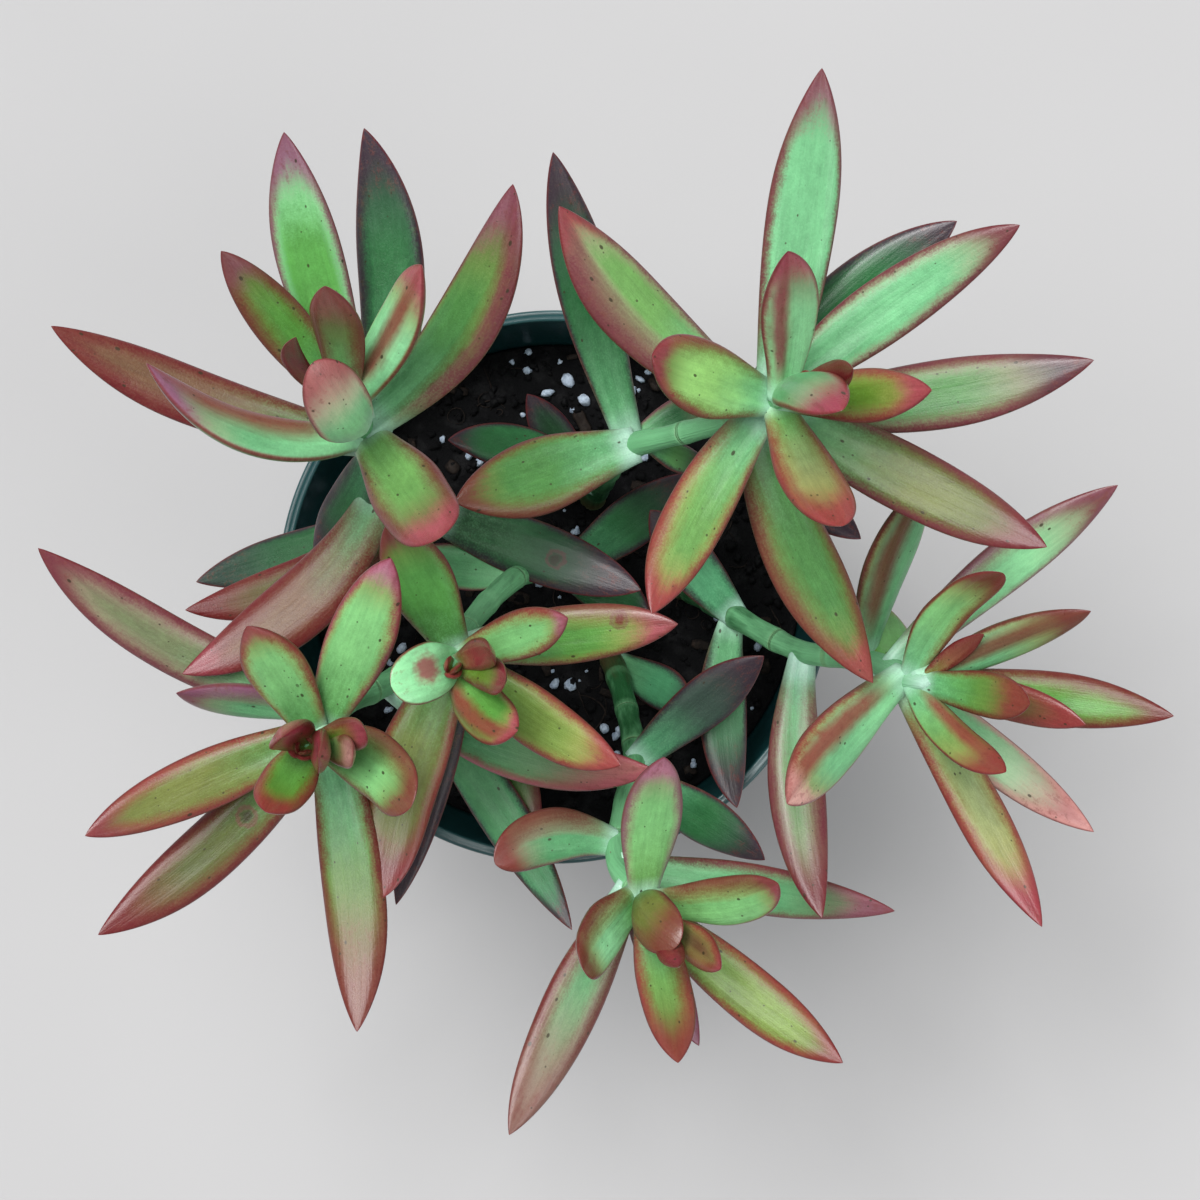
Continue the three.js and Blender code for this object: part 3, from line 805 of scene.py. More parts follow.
@dataclass(frozen=True)
class TopView:
    """The view from straight above that the leaves' tips are given in, as pixels of a square picture."""

    eye: tuple[float, float, float] = (8.3, -2.4, 508.0)
    rim_height: float = 88.0
    mm_per_pixel_at_rim: float = 0.184
    pixels: int = 1200

    def point(self, pixel: tuple[float, float], height: float) -> Array:
        """Finds the point that shows at a pixel and lies at a height.

        Args:
            pixel: The column and the row.
            height: The height in millimetres.

        Returns:
            The point in millimetres.
        """
        scale = self.mm_per_pixel_at_rim * (self.eye[2] - height) / (self.eye[2] - self.rim_height)
        column, row = pixel[0] - self.pixels / 2, pixel[1] - self.pixels / 2
        return np.array([self.eye[0] + column * scale, self.eye[1] - row * scale, height])

    def pixel(self, point: Array) -> tuple[float, float]:
        """Finds the pixel at which a point shows.

        Args:
            point: The point in millimetres.

        Returns:
            The column and the row.
        """
        scale = self.mm_per_pixel_at_rim * (self.eye[2] - point[2]) / (self.eye[2] - self.rim_height)
        aside, ahead = point[0] - self.eye[0], self.eye[1] - point[1]
        return float(self.pixels / 2 + aside / scale), float(self.pixels / 2 + ahead / scale)


VIEW = TopView()


# Plant


class Course:
    """A smooth centripetal curve through a stem's points."""

    def __init__(self, rows: Sequence[Sequence[float]]) -> None:
        """Takes rows of x, y, z and radius in millimetres."""
        self.points = np.array(rows, float)[:, :3]
        self.radii = np.array(rows, float)[:, 3]

    def point(self, share: float) -> Array:
        """Finds the point at a share of the course.

        Args:
            share: The share, from 0 at the foot to 1 at the end.

        Returns:
            The point in millimetres.
        """
        last = len(self.points) - 1
        place = share * last
        index = min(int(place), last - 1)
        weight = place - index
        p1, p2 = self.points[index], self.points[index + 1]
        p0 = self.points[index - 1] if index > 0 else 2 * p1 - p2
        p3 = self.points[index + 2] if index + 2 <= last else 2 * p2 - p1
        d0, d1, d2 = (float(np.sum((b - a) ** 2)) ** 0.25 for a, b in ((p0, p1), (p1, p2), (p2, p3)))
        leave = ((p1 - p0) / d0 - (p2 - p0) / (d0 + d1) + (p2 - p1) / d1) * d1
        enter = ((p2 - p1) / d1 - (p3 - p1) / (d1 + d2) + (p3 - p2) / d2) * d1
        square = -3 * p1 + 3 * p2 - 2 * leave - enter
        cube = 2 * p1 - 2 * p2 + leave + enter
        return p1 + weight * (leave + weight * (square + weight * cube))

    def tangent(self, share: float) -> Array:
        """The direction at a share of the course."""
        return unit(self.point(min(1.0, share + 1e-4)) - self.point(max(0.0, share - 1e-4)))

    def radius(self, share: float) -> float:
        """The radius at a share of the course."""
        return float(np.interp(share * (len(self.radii) - 1), range(len(self.radii)), self.radii))

    def share_at(self, height: float) -> float:
        """Finds where the course reaches a height.

        Args:
            height: The height in millimetres.

        Returns:
            The share of the course.
        """
        low, high = 0.0, 1.0
        for _ in range(30):
            middle = (low + high) / 2
            low, high = (middle, high) if self.point(middle)[2] < height else (low, middle)
        return (low + high) / 2


@dataclass(frozen=True)
class Leaf:
    """A thick pointed leaf, which joins its stem at a height and ends at a pixel of the top view.

    The reaches of the edge colour to the left and to the right are shares of the half width, and that
    of the tip's colour is a share of the length, all as they look from above.
    """

    name: str
    at: float
    tip: tuple[float, float]
    up: float
    width: float
    look: Look
    left: float
    right: float
    point: float
    # A darker foot tone on a leaf near a rosette's middle, such as FERN on b08, e01, e02 and f01, is painted shade
    # from the leaves above; lighter foot tones are the leaf's own colour.
    foot: Tone | None = None
    heart: Tone | None = None
    glow: Tone | None = None
    rim: Tone | None = None
    end: Tone | None = None
    ridge: tuple[float, float, float] = (0.0, 0.1, 0.0)
    scar: tuple[float, float, float] | None = None
    mark: Tone = Tone.SPECK
    roll: float = 0.0
    bow: float = 0.07
    sway: float = 0.0
    blunt: float = 0.0
    channel: float = 0.35

    TURN_TO_LIGHT = 0.65
    UPPER_DEPTH = 0.17
    LOWER_DEPTH = 0.27
    WIDEST_AT = 0.52
    THICKEST_AT = 0.35
    RINGS = 46
    SIDES = 28

    def widths(self, t: Array) -> Array:
        """The width along the leaf.

        Args:
            t: Shares of the leaf's length.

        Returns:
            The width at each, as a share of the largest.
        """
        flare = 0.5 + 0.5 * np.sin(np.clip(t / self.WIDEST_AT, 0, 1) * math.pi / 2) ** 1.3
        past = np.clip((t - self.WIDEST_AT) / (1 - self.WIDEST_AT), 0, 1)
        taper = (1 - past ** (2.2 + 1.6 * self.blunt)) ** (0.85 - 0.25 * self.blunt)
        return np.where(t < self.WIDEST_AT, flare, taper)

    def depths(self, t: Array) -> Array:
        """The thickness along the leaf.

        Args:
            t: Shares of the leaf's length.

        Returns:
            The thickness at each, as a share of the largest.
        """
        swell = 0.8 + 0.2 * np.sin(np.clip(t / self.THICKEST_AT, 0, 1) * math.pi / 2)
        past = np.clip((t - self.THICKEST_AT) / (1 - self.THICKEST_AT), 0, 1)
        return np.where(t < self.THICKEST_AT, swell, (1 - past**2.4) ** 0.8)

    def build(self, stem: Course, skin: bpy.types.Material) -> bpy.types.Object:
        """Makes the leaf.

        Args:
            stem: The stem that it grows from.
            skin: Its material.

        Returns:
            The leaf with its places and tones stored in the mesh.
        """
        chance = np.random.default_rng(sum(ord(letter) * 31**k for k, letter in enumerate(self.name)))
        share = stem.share_at(self.at)
        base, tip = stem.point(share), VIEW.point(self.tip, self.up)
        axis = stem.tangent(share) * (1 - self.TURN_TO_LIGHT) + UP * self.TURN_TO_LIGHT
        chord = tip - base
        length = float(np.linalg.norm(chord))
        along = chord / length
        upper = unit(axis - along * (axis @ along))
        turn = math.radians(self.roll)
        upper = upper * math.cos(turn) + np.cross(along, upper) * math.sin(turn)
        middle = base + chord / 2 - 2 * self.bow * length * upper
        middle = middle + 2 * self.sway * length * np.cross(along, upper)

        t = 1 - (1 - np.linspace(0, 0.993, self.RINGS)) ** 1.4
        t = t[:, None]
        centre = (1 - t) ** 2 * base + 2 * t * (1 - t) * middle + t**2 * tip
        forward = unit(2 * (1 - t) * (middle - base) + 2 * t * (tip - middle))
        lift = unit(upper - forward * (forward @ upper)[:, None])
        aside = np.cross(forward, lift)
        angle = np.linspace(0, 2 * math.pi, self.SIDES, endpoint=False)[None, :]
        across, rise = np.cos(angle), np.sin(angle)
        phase = chance.uniform(0, 2 * math.pi, 4)
        wave = 1 + 0.025 * np.sin(9 * t + phase[0]) + 0.02 * across * np.sin(7 * t + phase[1])
        half = self.width / 2 * self.widths(t) * wave
        depth = self.width * self.depths(t)
        top = self._top(across, t) * depth * self.UPPER_DEPTH
        keel = 0.65 * np.sqrt(1 - across**2) + 0.35 * (1 - np.abs(across)) ** 0.8
        bottom = -keel * depth * self.LOWER_DEPTH
        height = np.where(rise > 1e-9, top, np.where(rise < -1e-9, bottom, 0.0))
        ripple = 0.1 * np.sin(6 * t + phase[2]) + 0.06 * np.sin(13 * t + 3 * across + phase[3])
        height = height + ripple * np.minimum(1, 4 * (1 - t))
        points = centre[:, None] + aside[:, None] * (half * across)[..., None]
        points = (points + lift[:, None] * height[..., None]).reshape(-1, 3)
        points = np.vstack([points, tip]) * MM
        piece = new_piece(f"leaf_{self.name}_skin", points, tube_faces(self.RINGS, self.SIDES, True), skin)
        self._paint(piece, t, across, rise, half, length, float(chance.uniform(0, 60)))
        return piece

    def _top(self, across: Array, t: Array) -> Array:
        """The outline of the upper face: rounded shoulders, a shallow channel and the ridge, if any.

        Args:
            across: Shares of the half width.
            t: Shares of the leaf's length.

        Returns:
            The height of the face, as a share of the upper depth.
        """
        crown = (1 - np.abs(across) ** 2.8) ** 0.6
        channel = self.channel * np.exp(-((across / 0.42) ** 2)) * (1 - 0.75 * t)
        place, width, strength = self.ridge
        ridge = 0.75 * strength * np.exp(-(((across - place) / max(width, 0.2)) ** 2)) * (1 - t * 0.6)
        return crown * (1 - channel + ridge)

    def _paint(
        self,
        piece: bpy.types.Object,
        t: Array,
        across: Array,
        rise: Array,
        half: Array,
        length: float,
        seed: float,
    ) -> None:
        """Stores where each vertex lies on the leaf, and the leaf's tones.

        Args:
            piece: The leaf.
            t: The share of the length of each ring.
            across: The share of the half width of each point of a ring.
            rise: The height of each point of a ring, above 0 on the upper face.
            half: The half width of each ring in millimetres.
            length: The leaf's length in millimetres.
            seed: A number that makes the leaf's pattern its own.
        """

        def rows(*parts: Array | float) -> Array:
            """Makes one row for each vertex, the tip's last.

            Args:
                *parts: The columns, each one number or an array over the rings and the sides.

            Returns:
                The rows.
            """
            grid = [np.broadcast_to(part, (self.RINGS, self.SIDES)).ravel() for part in parts]
            table = np.stack(grid, 1)
            return np.vstack([table, table[-1]])

        turned = abs(self.roll) > 90
        face = np.clip(0.5 + 2.5 * rise * (-1 if turned else 1), 0, 1)
        seen = -across if turned else across
        store(piece, "leaf_place", rows(t, seen, face))
        store(piece, "leaf_span", rows(t * length, seen * half, seed))
        store(piece, "leaf_edge", rows((1 - np.abs(seen)) * half, half, (1 - t) * length))
        reach = self.width / 2
        store(piece, "leaf_reach", rows(self.left * reach, self.right * reach, self.point))
        store(piece, "leaf_ridge", rows(*self.ridge))
        mark = self.scar or (0.0, 0.0, 0.0)
        store(piece, "leaf_scar", rows(mark[0] * length, mark[1] * self.width / 2, mark[2]))
        for part in ("foot", "heart", "glow", "rim", "end"):
            store_tone(piece, f"{part}_tone", getattr(self, part) or getattr(self.look.value, part))
        store_tone(piece, "mark_tone", self.mark)


@dataclass(frozen=True)
class Shoot:
    """A stem with its large leaves and the small leaves of its bud and its lower joints."""

    letter: str
    rows: tuple[tuple[float, float, float, float], ...]
    leaves: tuple[Leaf, ...]
    small: tuple[Leaf, ...] = ()
    crown: int = 5

    SIDES = 20
    STEPS = 110
    JOINT_SPACING = 8.5
    CROWN_LENGTH = 9.0
    GOLDEN_TURN = 137.5

    def build(self, skins: dict[str, bpy.types.Material], shaded: Iterable[str]) -> int:
        """Makes the stem and all its leaves.

        Args:
            skins: The materials by slot.
            shaded: The names of the leaves low in the pot.

        Returns:
            How many pieces it made.
        """
        course = Course(self.rows)
        stem = self._stem(course, skins["stem"])
        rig.replaces(stem, f"stem_{self.letter}")
        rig.slot(stem, "stem")
        crown = self._crown(course)
        for leaf in (*self.leaves, *self.small, *crown):
            slot = "shaded_leaf" if leaf.name in shaded else "leaf"
            piece = leaf.build(course, skins[slot])
            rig.slot(piece, slot)
            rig.replaces(piece, f"leaf_{leaf.name}" if leaf in self.leaves else f"stem_{self.letter}")
        return 1 + len(self.leaves) + len(self.small) + len(crown)

    def _crown(self, course: Course) -> list[Leaf]:
        """The youngest leaves, folded together round the end of the stem.

        Args:
            course: The stem's curve.

        Returns:
            A row for each leaf, the innermost first.
        """
        end, forward = course.point(1.0), course.tangent(1.0)
        crown = []
        for number in range(self.crown):
            turn = math.radians(self.GOLDEN_TURN * number)
            spread = 0.5 + 0.45 * number
            outward = np.array([math.cos(turn), math.sin(turn), 0.0]) * spread
            tip = end + outward + forward * (5.2 - 0.5 * number)
            pixel = VIEW.pixel(tip)
            at = float(end[2]) - 0.6 - 0.25 * number
            name = f"{self.letter}_heart_{number + 1}"
            width = 2.6 + 0.2 * number
            crown.append(Leaf(name, at, pixel, float(tip[2]), width, Look.CROWN, 0.4, 0.4, 0.35))
        return crown

    def _stem(self, course: Course, skin: bpy.types.Material) -> bpy.types.Object:
        """Makes the stem.

        Args:
            course: Its curve.
            skin: Its material.

        Returns:
            A tube that swells a little at each joint.
        """
        chance = np.random.default_rng(ord(self.letter))
        top = self.rows[-1][2] - self.CROWN_LENGTH
        joints = np.arange(self.rows[0][2], top, self.JOINT_SPACING) + chance.uniform(-1.5, 1.5)
        shares = np.linspace(0, 1, self.STEPS)
        angle = np.linspace(0, 2 * math.pi, self.SIDES, endpoint=False)
        rings, places, spans = [], [], []
        run = 0.0
        before = course.point(0.0)
        for share in shares:
            centre, forward = course.point(share), course.tangent(share)
            run += float(np.linalg.norm(centre - before))
            before = centre
            side = unit(np.cross(np.array([0.0, 1.0, 0.0]), forward))
            over = np.cross(side, forward)
            near = max(math.exp(-(((centre[2] - joint) / 1.0) ** 2)) for joint in joints)
            swell = 0.99 + 0.07 * near + 0.03 * math.sin(run * 0.7)
            radius = course.radius(share) * swell * (1 + 0.02 * np.sin(2 * angle + run * 0.2))
            rings.append(oval(centre, side, over, (radius, radius), angle))
            bare = 0.0 if self.crown else share**8
            places.append(np.tile([near, (centre[2] - 70) / 60, bare], (self.SIDES, 1)))
            spans.append(np.stack([np.full(self.SIDES, run), 3 * np.cos(angle), 3 * np.sin(angle)], 1))
        end = course.point(1.0) + course.tangent(1.0) * course.radius(1.0)
        points = np.vstack([*rings, end]) * MM
        faces = tube_faces(self.STEPS, self.SIDES, True)
        piece = new_piece(f"stem_{self.letter}_skin", points, faces, skin)
        store(piece, "stem_place", np.vstack([*places, places[-1][:1]]))
        store(piece, "stem_span", np.vstack([*spans, spans[-1][:1]]))
        return piece


# Soil


@dataclass(frozen=True)
class SoilBed:
    """The potting mix: a rough bed with loose crumbs, perlite, bark and fibres on it."""

    height: float = 70.5
    crown: float = 0.9
    bottom: float = 1.8
    edge: float = 46.4
    foot: float = 38.34
    rings: int = 80
    spokes: int = 170
    crumbs: int = 1500
    perlite: int = 90
    chips: int = 60
    fibres: int = 90
    seed: int = 11

    SEEN_PERLITE = (
        (548, 392, 2.0), (568, 380, 2.2), (585, 400, 2.4), (560, 362, 1.2), (590, 372, 1.2), (574, 410, 1.6),
        (470, 455, 2.2), (480, 462, 1.6), (555, 685, 2.3), (664, 722, 2.0), (604, 728, 1.8), (402, 647, 2.0),
        (540, 405, 1.2), (528, 352, 1.0), (640, 380, 1.6), (648, 372, 1.2), (772, 470, 2.0), (600, 385, 1.4),
    )  # fmt: skip

    def level(self, x: float, y: float) -> float:
        """The height of the bed at a place.

        Args:
            x: How far to the right the place is, in millimetres.
            y: How far to the rear it is, in millimetres.

        Returns:
            The height in millimetres.
        """
        radius = math.hypot(x, y) / self.edge
        swell = self.crown * (0.5 + 0.5 * math.cos(radius * 8))
        lumps = noise.fractal(Vector((x * 0.16, y * 0.16, 3.1)), 0.9, 2.1, 5)
        grains = noise.noise(Vector((x * 0.9, y * 0.9, 7.7)))
        return self.height + 0.55 * swell + 0.45 * lumps + 0.22 * grains - 0.5

    def build(self, finishes: dict[str, bpy.types.Material]) -> int:
        """Makes the bed and what lies on it.

        Args:
            finishes: The materials by slot.

        Returns:
            How many pieces it made.
        """
        chance = np.random.default_rng(self.seed)
        bed = self._bed(finishes["soil"])
        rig.replaces(bed, "soil")
        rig.slot(bed, "soil")
        spots = self._scatter(chance, self.crumbs)
        sizes = chance.uniform(0.25, 1.0, self.crumbs) ** 1.6 * 1.15
        crumbs = self._lumps("soil_crumbs", spots, sizes, 1, chance, finishes["soil"], 0.35)
        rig.slot(crumbs, "soil")
        seen = [VIEW.point((column, row), self.height)[:2] for column, row, _ in self.SEEN_PERLITE]
        spots = np.vstack([seen, self._scatter(chance, self.perlite)])
        known = [size * 0.5 for _, _, size in self.SEEN_PERLITE]
        sizes = np.concatenate([known, chance.uniform(0.3, 1.0, self.perlite)])
        grains = self._lumps("perlite_grains", spots, sizes, 2, chance, finishes["perlite"], 0.28)
        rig.slot(grains, "perlite")
        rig.slot(self._chips(chance, finishes["bark"]), "bark")
        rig.slot(self._fibres(chance, finishes["bark"]), "bark")
        return 5

    def _scatter(self, chance: np.random.Generator, count: int) -> Array:
        """Picks random places all over the bed.

        Args:
            chance: The source of random numbers.
            count: How many places to pick.

        Returns:
            A row of x and y for each, in millimetres.
        """
        radius = (self.edge - 1.3) * np.sqrt(chance.uniform(0, 1, count))
        angle = chance.uniform(0, 2 * math.pi, count)
        return np.stack([radius * np.cos(angle), radius * np.sin(angle)], 1)

    def _bed(self, finish: bpy.types.Material) -> bpy.types.Object:
        """Makes the bed with its side and its underside.

        Args:
            finish: Its material.

        Returns:
            The bed.
        """
        points = []
        for ring in range(1, self.rings + 1):
            radius = self.edge * ring / self.rings
            for spoke in range(self.spokes):
                angle = 2 * math.pi * spoke / self.spokes
                x, y = radius * math.cos(angle), radius * math.sin(angle)
                points.append((x, y, self.level(x, y)))
        for radius, height in ((self.foot, self.bottom), (self.foot * 0.5, self.bottom)):
            for spoke in range(self.spokes):
                angle = 2 * math.pi * spoke / self.spokes
                points.append((radius * math.cos(angle), radius * math.sin(angle), height))
        points.append((0.0, 0.0, self.level(0.0, 0.0)))
        faces = []
        for ring in range(self.rings + 1):
            for spoke in range(self.spokes):
                here, after = ring * self.spokes + spoke, ring * self.spokes + (spoke + 1) % self.spokes
                faces.append((here, here + self.spokes, after + self.spokes, after))
        middle = len(points) - 1
        faces += [(middle, spoke, (spoke + 1) % self.spokes) for spoke in range(self.spokes)]
        last = (self.rings + 1) * self.spokes
        faces.append(tuple(last + spoke for spoke in reversed(range(self.spokes))))
        return new_piece("soil_bed", np.array(points) * MM, faces, finish)

    def _lumps(
        self,
        name: str,
        spots: Array,
        sizes: Array,
        fineness: int,
        chance: np.random.Generator,
        finish: bpy.types.Material,
        sink: float,
    ) -> bpy.types.Object:
        """Makes many uneven grains that lie on the bed as one piece.

        Args:
            name: The piece's name.
            spots: The place of each grain in millimetres.
            sizes: The radius of each grain in millimetres.
            fineness: How often a grain's faces are divided.
            chance: The source of its random numbers.
            finish: Its material.
            sink: How deep a grain lies in the bed, as a share of its size.

        Returns:
            The piece.
        """
        ball = bmesh.new()
        bmesh.ops.create_icosphere(ball, subdivisions=fineness, radius=1.0)
        shape = np.array([vertex.co for vertex in ball.verts])
        corners = np.array([[vertex.index for vertex in face.verts] for face in ball.faces])
        ball.free()
        points, faces = [], []
        for number, ((x, y), size) in enumerate(zip(spots, sizes)):
            bumps = 1 + 0.28 * np.sin(shape @ chance.normal(0, 2.2, 3) + chance.uniform(0, 6))
            bumps += 0.14 * np.sin(shape @ chance.normal(0, 5, 3))
            grain = shape * bumps[:, None] * chance.uniform(0.65, 1.25, 3) * size
            turn = chance.uniform(0, 2 * math.pi)
            cosine, sine = math.cos(turn), math.sin(turn)
            spin = np.array([[cosine, -sine, 0], [sine, cosine, 0], [0, 0, 1]])
            grain = grain @ spin.T + np.array([x, y, self.level(x, y) + size * (0.7 - sink)])
            points.append(grain)
            faces.append(corners + number * len(shape))
        return new_piece(name, np.vstack(points) * MM, np.vstack(faces).tolist(), finish)

    def _chips(self, chance: np.random.Generator, finish: bpy.types.Material) -> bpy.types.Object:
        """Makes flat splinters of bark that lie on the bed.

        Args:
            chance: The source of random numbers.
            finish: Their material.

        Returns:
            The splinters as one piece.
        """
        points, faces = [], []
        steps, sides = 6, 8
        for number, (x, y) in enumerate(self._scatter(chance, self.chips)):
            length, width = chance.uniform(1.8, 5.0), chance.uniform(0.5, 1.5)
            heading, tilt = chance.uniform(0, 2 * math.pi), chance.uniform(-0.18, 0.18)
            forward = np.array([math.cos(heading), math.sin(heading), tilt])
            aside = np.array([-math.sin(heading), math.cos(heading), chance.uniform(-0.25, 0.25)])
            angle = np.linspace(0, 2 * math.pi, sides, endpoint=False)
            centre = np.array([x, y, self.level(x, y) + 0.45])
            for step in range(steps):
                place = step / (steps - 1) - 0.5
                girth = width * (0.55 + 0.45 * math.cos(place * 2.4)) * chance.uniform(0.75, 1.1)
                middle = centre + forward * (place * length)
                points.append(oval(middle, aside, UP, (girth, 0.28 * girth), angle))
            faces += strand_faces(number, steps, sides)
        return new_piece("bark_chips", np.vstack(points) * MM, faces, finish)

    def _fibres(self, chance: np.random.Generator, finish: bpy.types.Material) -> bpy.types.Object:
        """Makes thin curved fibres that lie over the bed.

        Args:
            chance: The source of random numbers.
            finish: Their material.

        Returns:
            The fibres as one piece.
        """
        points, faces = [], []
        steps, sides = 14, 5
        angle = np.linspace(0, 2 * math.pi, sides, endpoint=False)
        for number, (x, y) in enumerate(self._scatter(chance, self.fibres)):
            heading, bend = chance.uniform(0, 2 * math.pi), chance.normal(0, 0.2)
            stride, girth = chance.uniform(0.25, 0.75), chance.uniform(0.06, 0.16)
            place = np.array([x, y]) * 0.9
            for step in range(steps):
                heading += bend + chance.normal(0, 0.12)
                ahead = np.array([math.cos(heading), math.sin(heading)])
                place = place + ahead * stride
                place *= min(1.0, (self.edge - 1.5) / max(1e-6, float(np.linalg.norm(place))))
                lift = 0.35 + 0.25 * math.sin(step * 0.5 + number)
                centre = np.array([*place, self.level(*place) + lift])
                aside = np.array([-ahead[1], ahead[0], 0.0])
                thin = girth * math.sin(math.pi * (step + 0.6) / (steps + 0.4)) + 0.02
                points.append(oval(centre, aside, UP, (thin, thin), angle))
            faces += strand_faces(number, steps, sides)
        return new_piece("peat_fibres", np.vstack(points) * MM, faces, finish)


# Pot


@dataclass(frozen=True)
class NurseryPot:
    """A thin tapered plastic pot with a deeper band and a rolled lip at the top."""

    height: float = 88.0
    rim: float = 51.0
    rim_inside: float = 48.9
    flange: float = 3.2
    band: float = 11.5
    step: float = 0.9
    base_inside: float = 38.6
    wall: float = 1.1
    floor: float = 1.5
    drain_radius: float = 3.5
    drain_circle: float = 29.0
    drains: int = 8
    sides: int = 192

    def _inside(self, height: float) -> float:
        """The inner radius of the wall at a height."""
        flare = self.rim_inside - self.base_inside
        return self.base_inside + flare * (height - self.floor) / (self.height - self.floor)

    def _outline(self) -> list[tuple[float, float]]:
        """Draws the section of the wall.

        Returns:
            The radius and the height of each corner, from the underside round to the inside.
        """
        foot, flange = self.height - self.band, self.height - self.flange
        outside = [
            (self._inside(0) + self.wall - 0.9, 0.0),
            (self._inside(0) + self.wall - 0.35, 0.12),
            (self._inside(0) + self.wall - 0.05, 0.5),
            (self._inside(0) + self.wall, 0.95),
        ]
        for share in np.linspace(0.04, 0.98, 24):
            height = 1.0 + (foot - self.step - 1.0) * share
            outside.append((self._inside(height) + self.wall, height))
        outside += [
            (self._inside(foot) + self.wall + 0.05, foot - self.step),
            (self._inside(foot) + self.wall + self.step - 0.15, foot - 0.1),
            (self._inside(foot) + self.wall + self.step, foot + 0.2),
            (self._inside(flange) + self.wall + self.step - 0.05, flange - 0.5),
            (self._inside(flange) + self.wall + self.step + 0.02, flange - 0.25),
            (self.rim - 0.18, flange + 0.02),
            (self.rim, flange + 0.25),
            (self.rim, self.height - 0.75),
        ]
        lip = []
        for turn in np.linspace(0, math.pi / 2, 6):
            lip.append((self.rim - 0.6 + 0.6 * math.cos(turn), self.height - 0.6 + 0.6 * math.sin(turn)))
        lip += [(self.rim - 0.95, self.height - 0.03), (self.rim - 1.1, self.height - 0.12)]
        for turn in np.linspace(math.pi / 2, math.pi, 5):
            radius = self.rim_inside + 0.55 + 0.55 * math.cos(turn)
            lip.append((radius, self.height - 0.55 + 0.5 * math.sin(turn)))
        inside = []
        for share in np.linspace(0.02, 0.985, 26):
            height = self.height - 0.6 - (self.height - 0.6 - self.floor) * share
            groove = 0.1 if int(share * 25) in (1, 3) else 0.0
            inside.append((self._inside(height) + groove, height))
        inside += [(self.base_inside - 0.15, self.floor + 0.05), (self.base_inside - 0.5, self.floor)]
        return [*outside, *lip, *inside]

    def build(self, plastic: bpy.types.Material) -> bpy.types.Object:
        """Makes the pot.

        Args:
            plastic: Its material.

        Returns:
            The pot with its drain holes cut.
        """
        outline = self._outline()
        angle = np.linspace(0, 2 * math.pi, self.sides, endpoint=False)
        rings = [
            np.stack([radius * np.cos(angle), radius * np.sin(angle), np.full(self.sides, height)], 1)
            for radius, height in outline
        ]
        faces = tube_faces(len(rings), self.sides, False)
        points = np.vstack(rings) * MM
        pot = new_piece("pot_shell", points, [tuple(reversed(face)) for face in faces], plastic)
        self._drill(pot)
        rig.replaces(pot, "pot")
        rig.slot(pot, "pot")
        return pot

    def _drill(self, pot: bpy.types.Object) -> None:
        """Cuts the drain holes out of the floor.

        Args:
            pot: The pot.
        """
        punch = bmesh.new()
        for hole in range(self.drains):
            turn = 2 * math.pi * hole / self.drains
            made = bmesh.ops.create_cone(
                punch,
                cap_ends=True,
                segments=48,
                radius1=self.drain_radius * MM,
                radius2=self.drain_radius * MM,
                depth=4 * self.floor * MM,
            )
            shift = Vector((math.cos(turn), math.sin(turn), 0.0)) * self.drain_circle * MM
            bmesh.ops.translate(punch, verts=made["verts"], vec=shift)
        mesh = bpy.data.meshes.new("drain_punch")
        punch.to_mesh(mesh)
        punch.free()
        cutter = bpy.data.objects.new("drain_punch", mesh)
        bpy.context.scene.collection.objects.link(cutter)
        cut = pot.modifiers.new("drains", "BOOLEAN")
        cut.operation = "DIFFERENCE"
        cut.solver = "EXACT"
        cut.object = cutter
        graph = bpy.context.evaluated_depsgraph_get()
        drilled = bpy.data.meshes.new_from_object(pot.evaluated_get(graph))
        pot.modifiers.remove(cut)
        pot.data = drilled
        bpy.data.objects.remove(cutter)
        bpy.data.meshes.remove(mesh)


# Studio


@dataclass(frozen=True)
class Lamp:
    """A soft light: where it stands, how wide it is, in metres or as an angle, and how strong."""

    name: str
    place: Triple
    size: float
    power: float


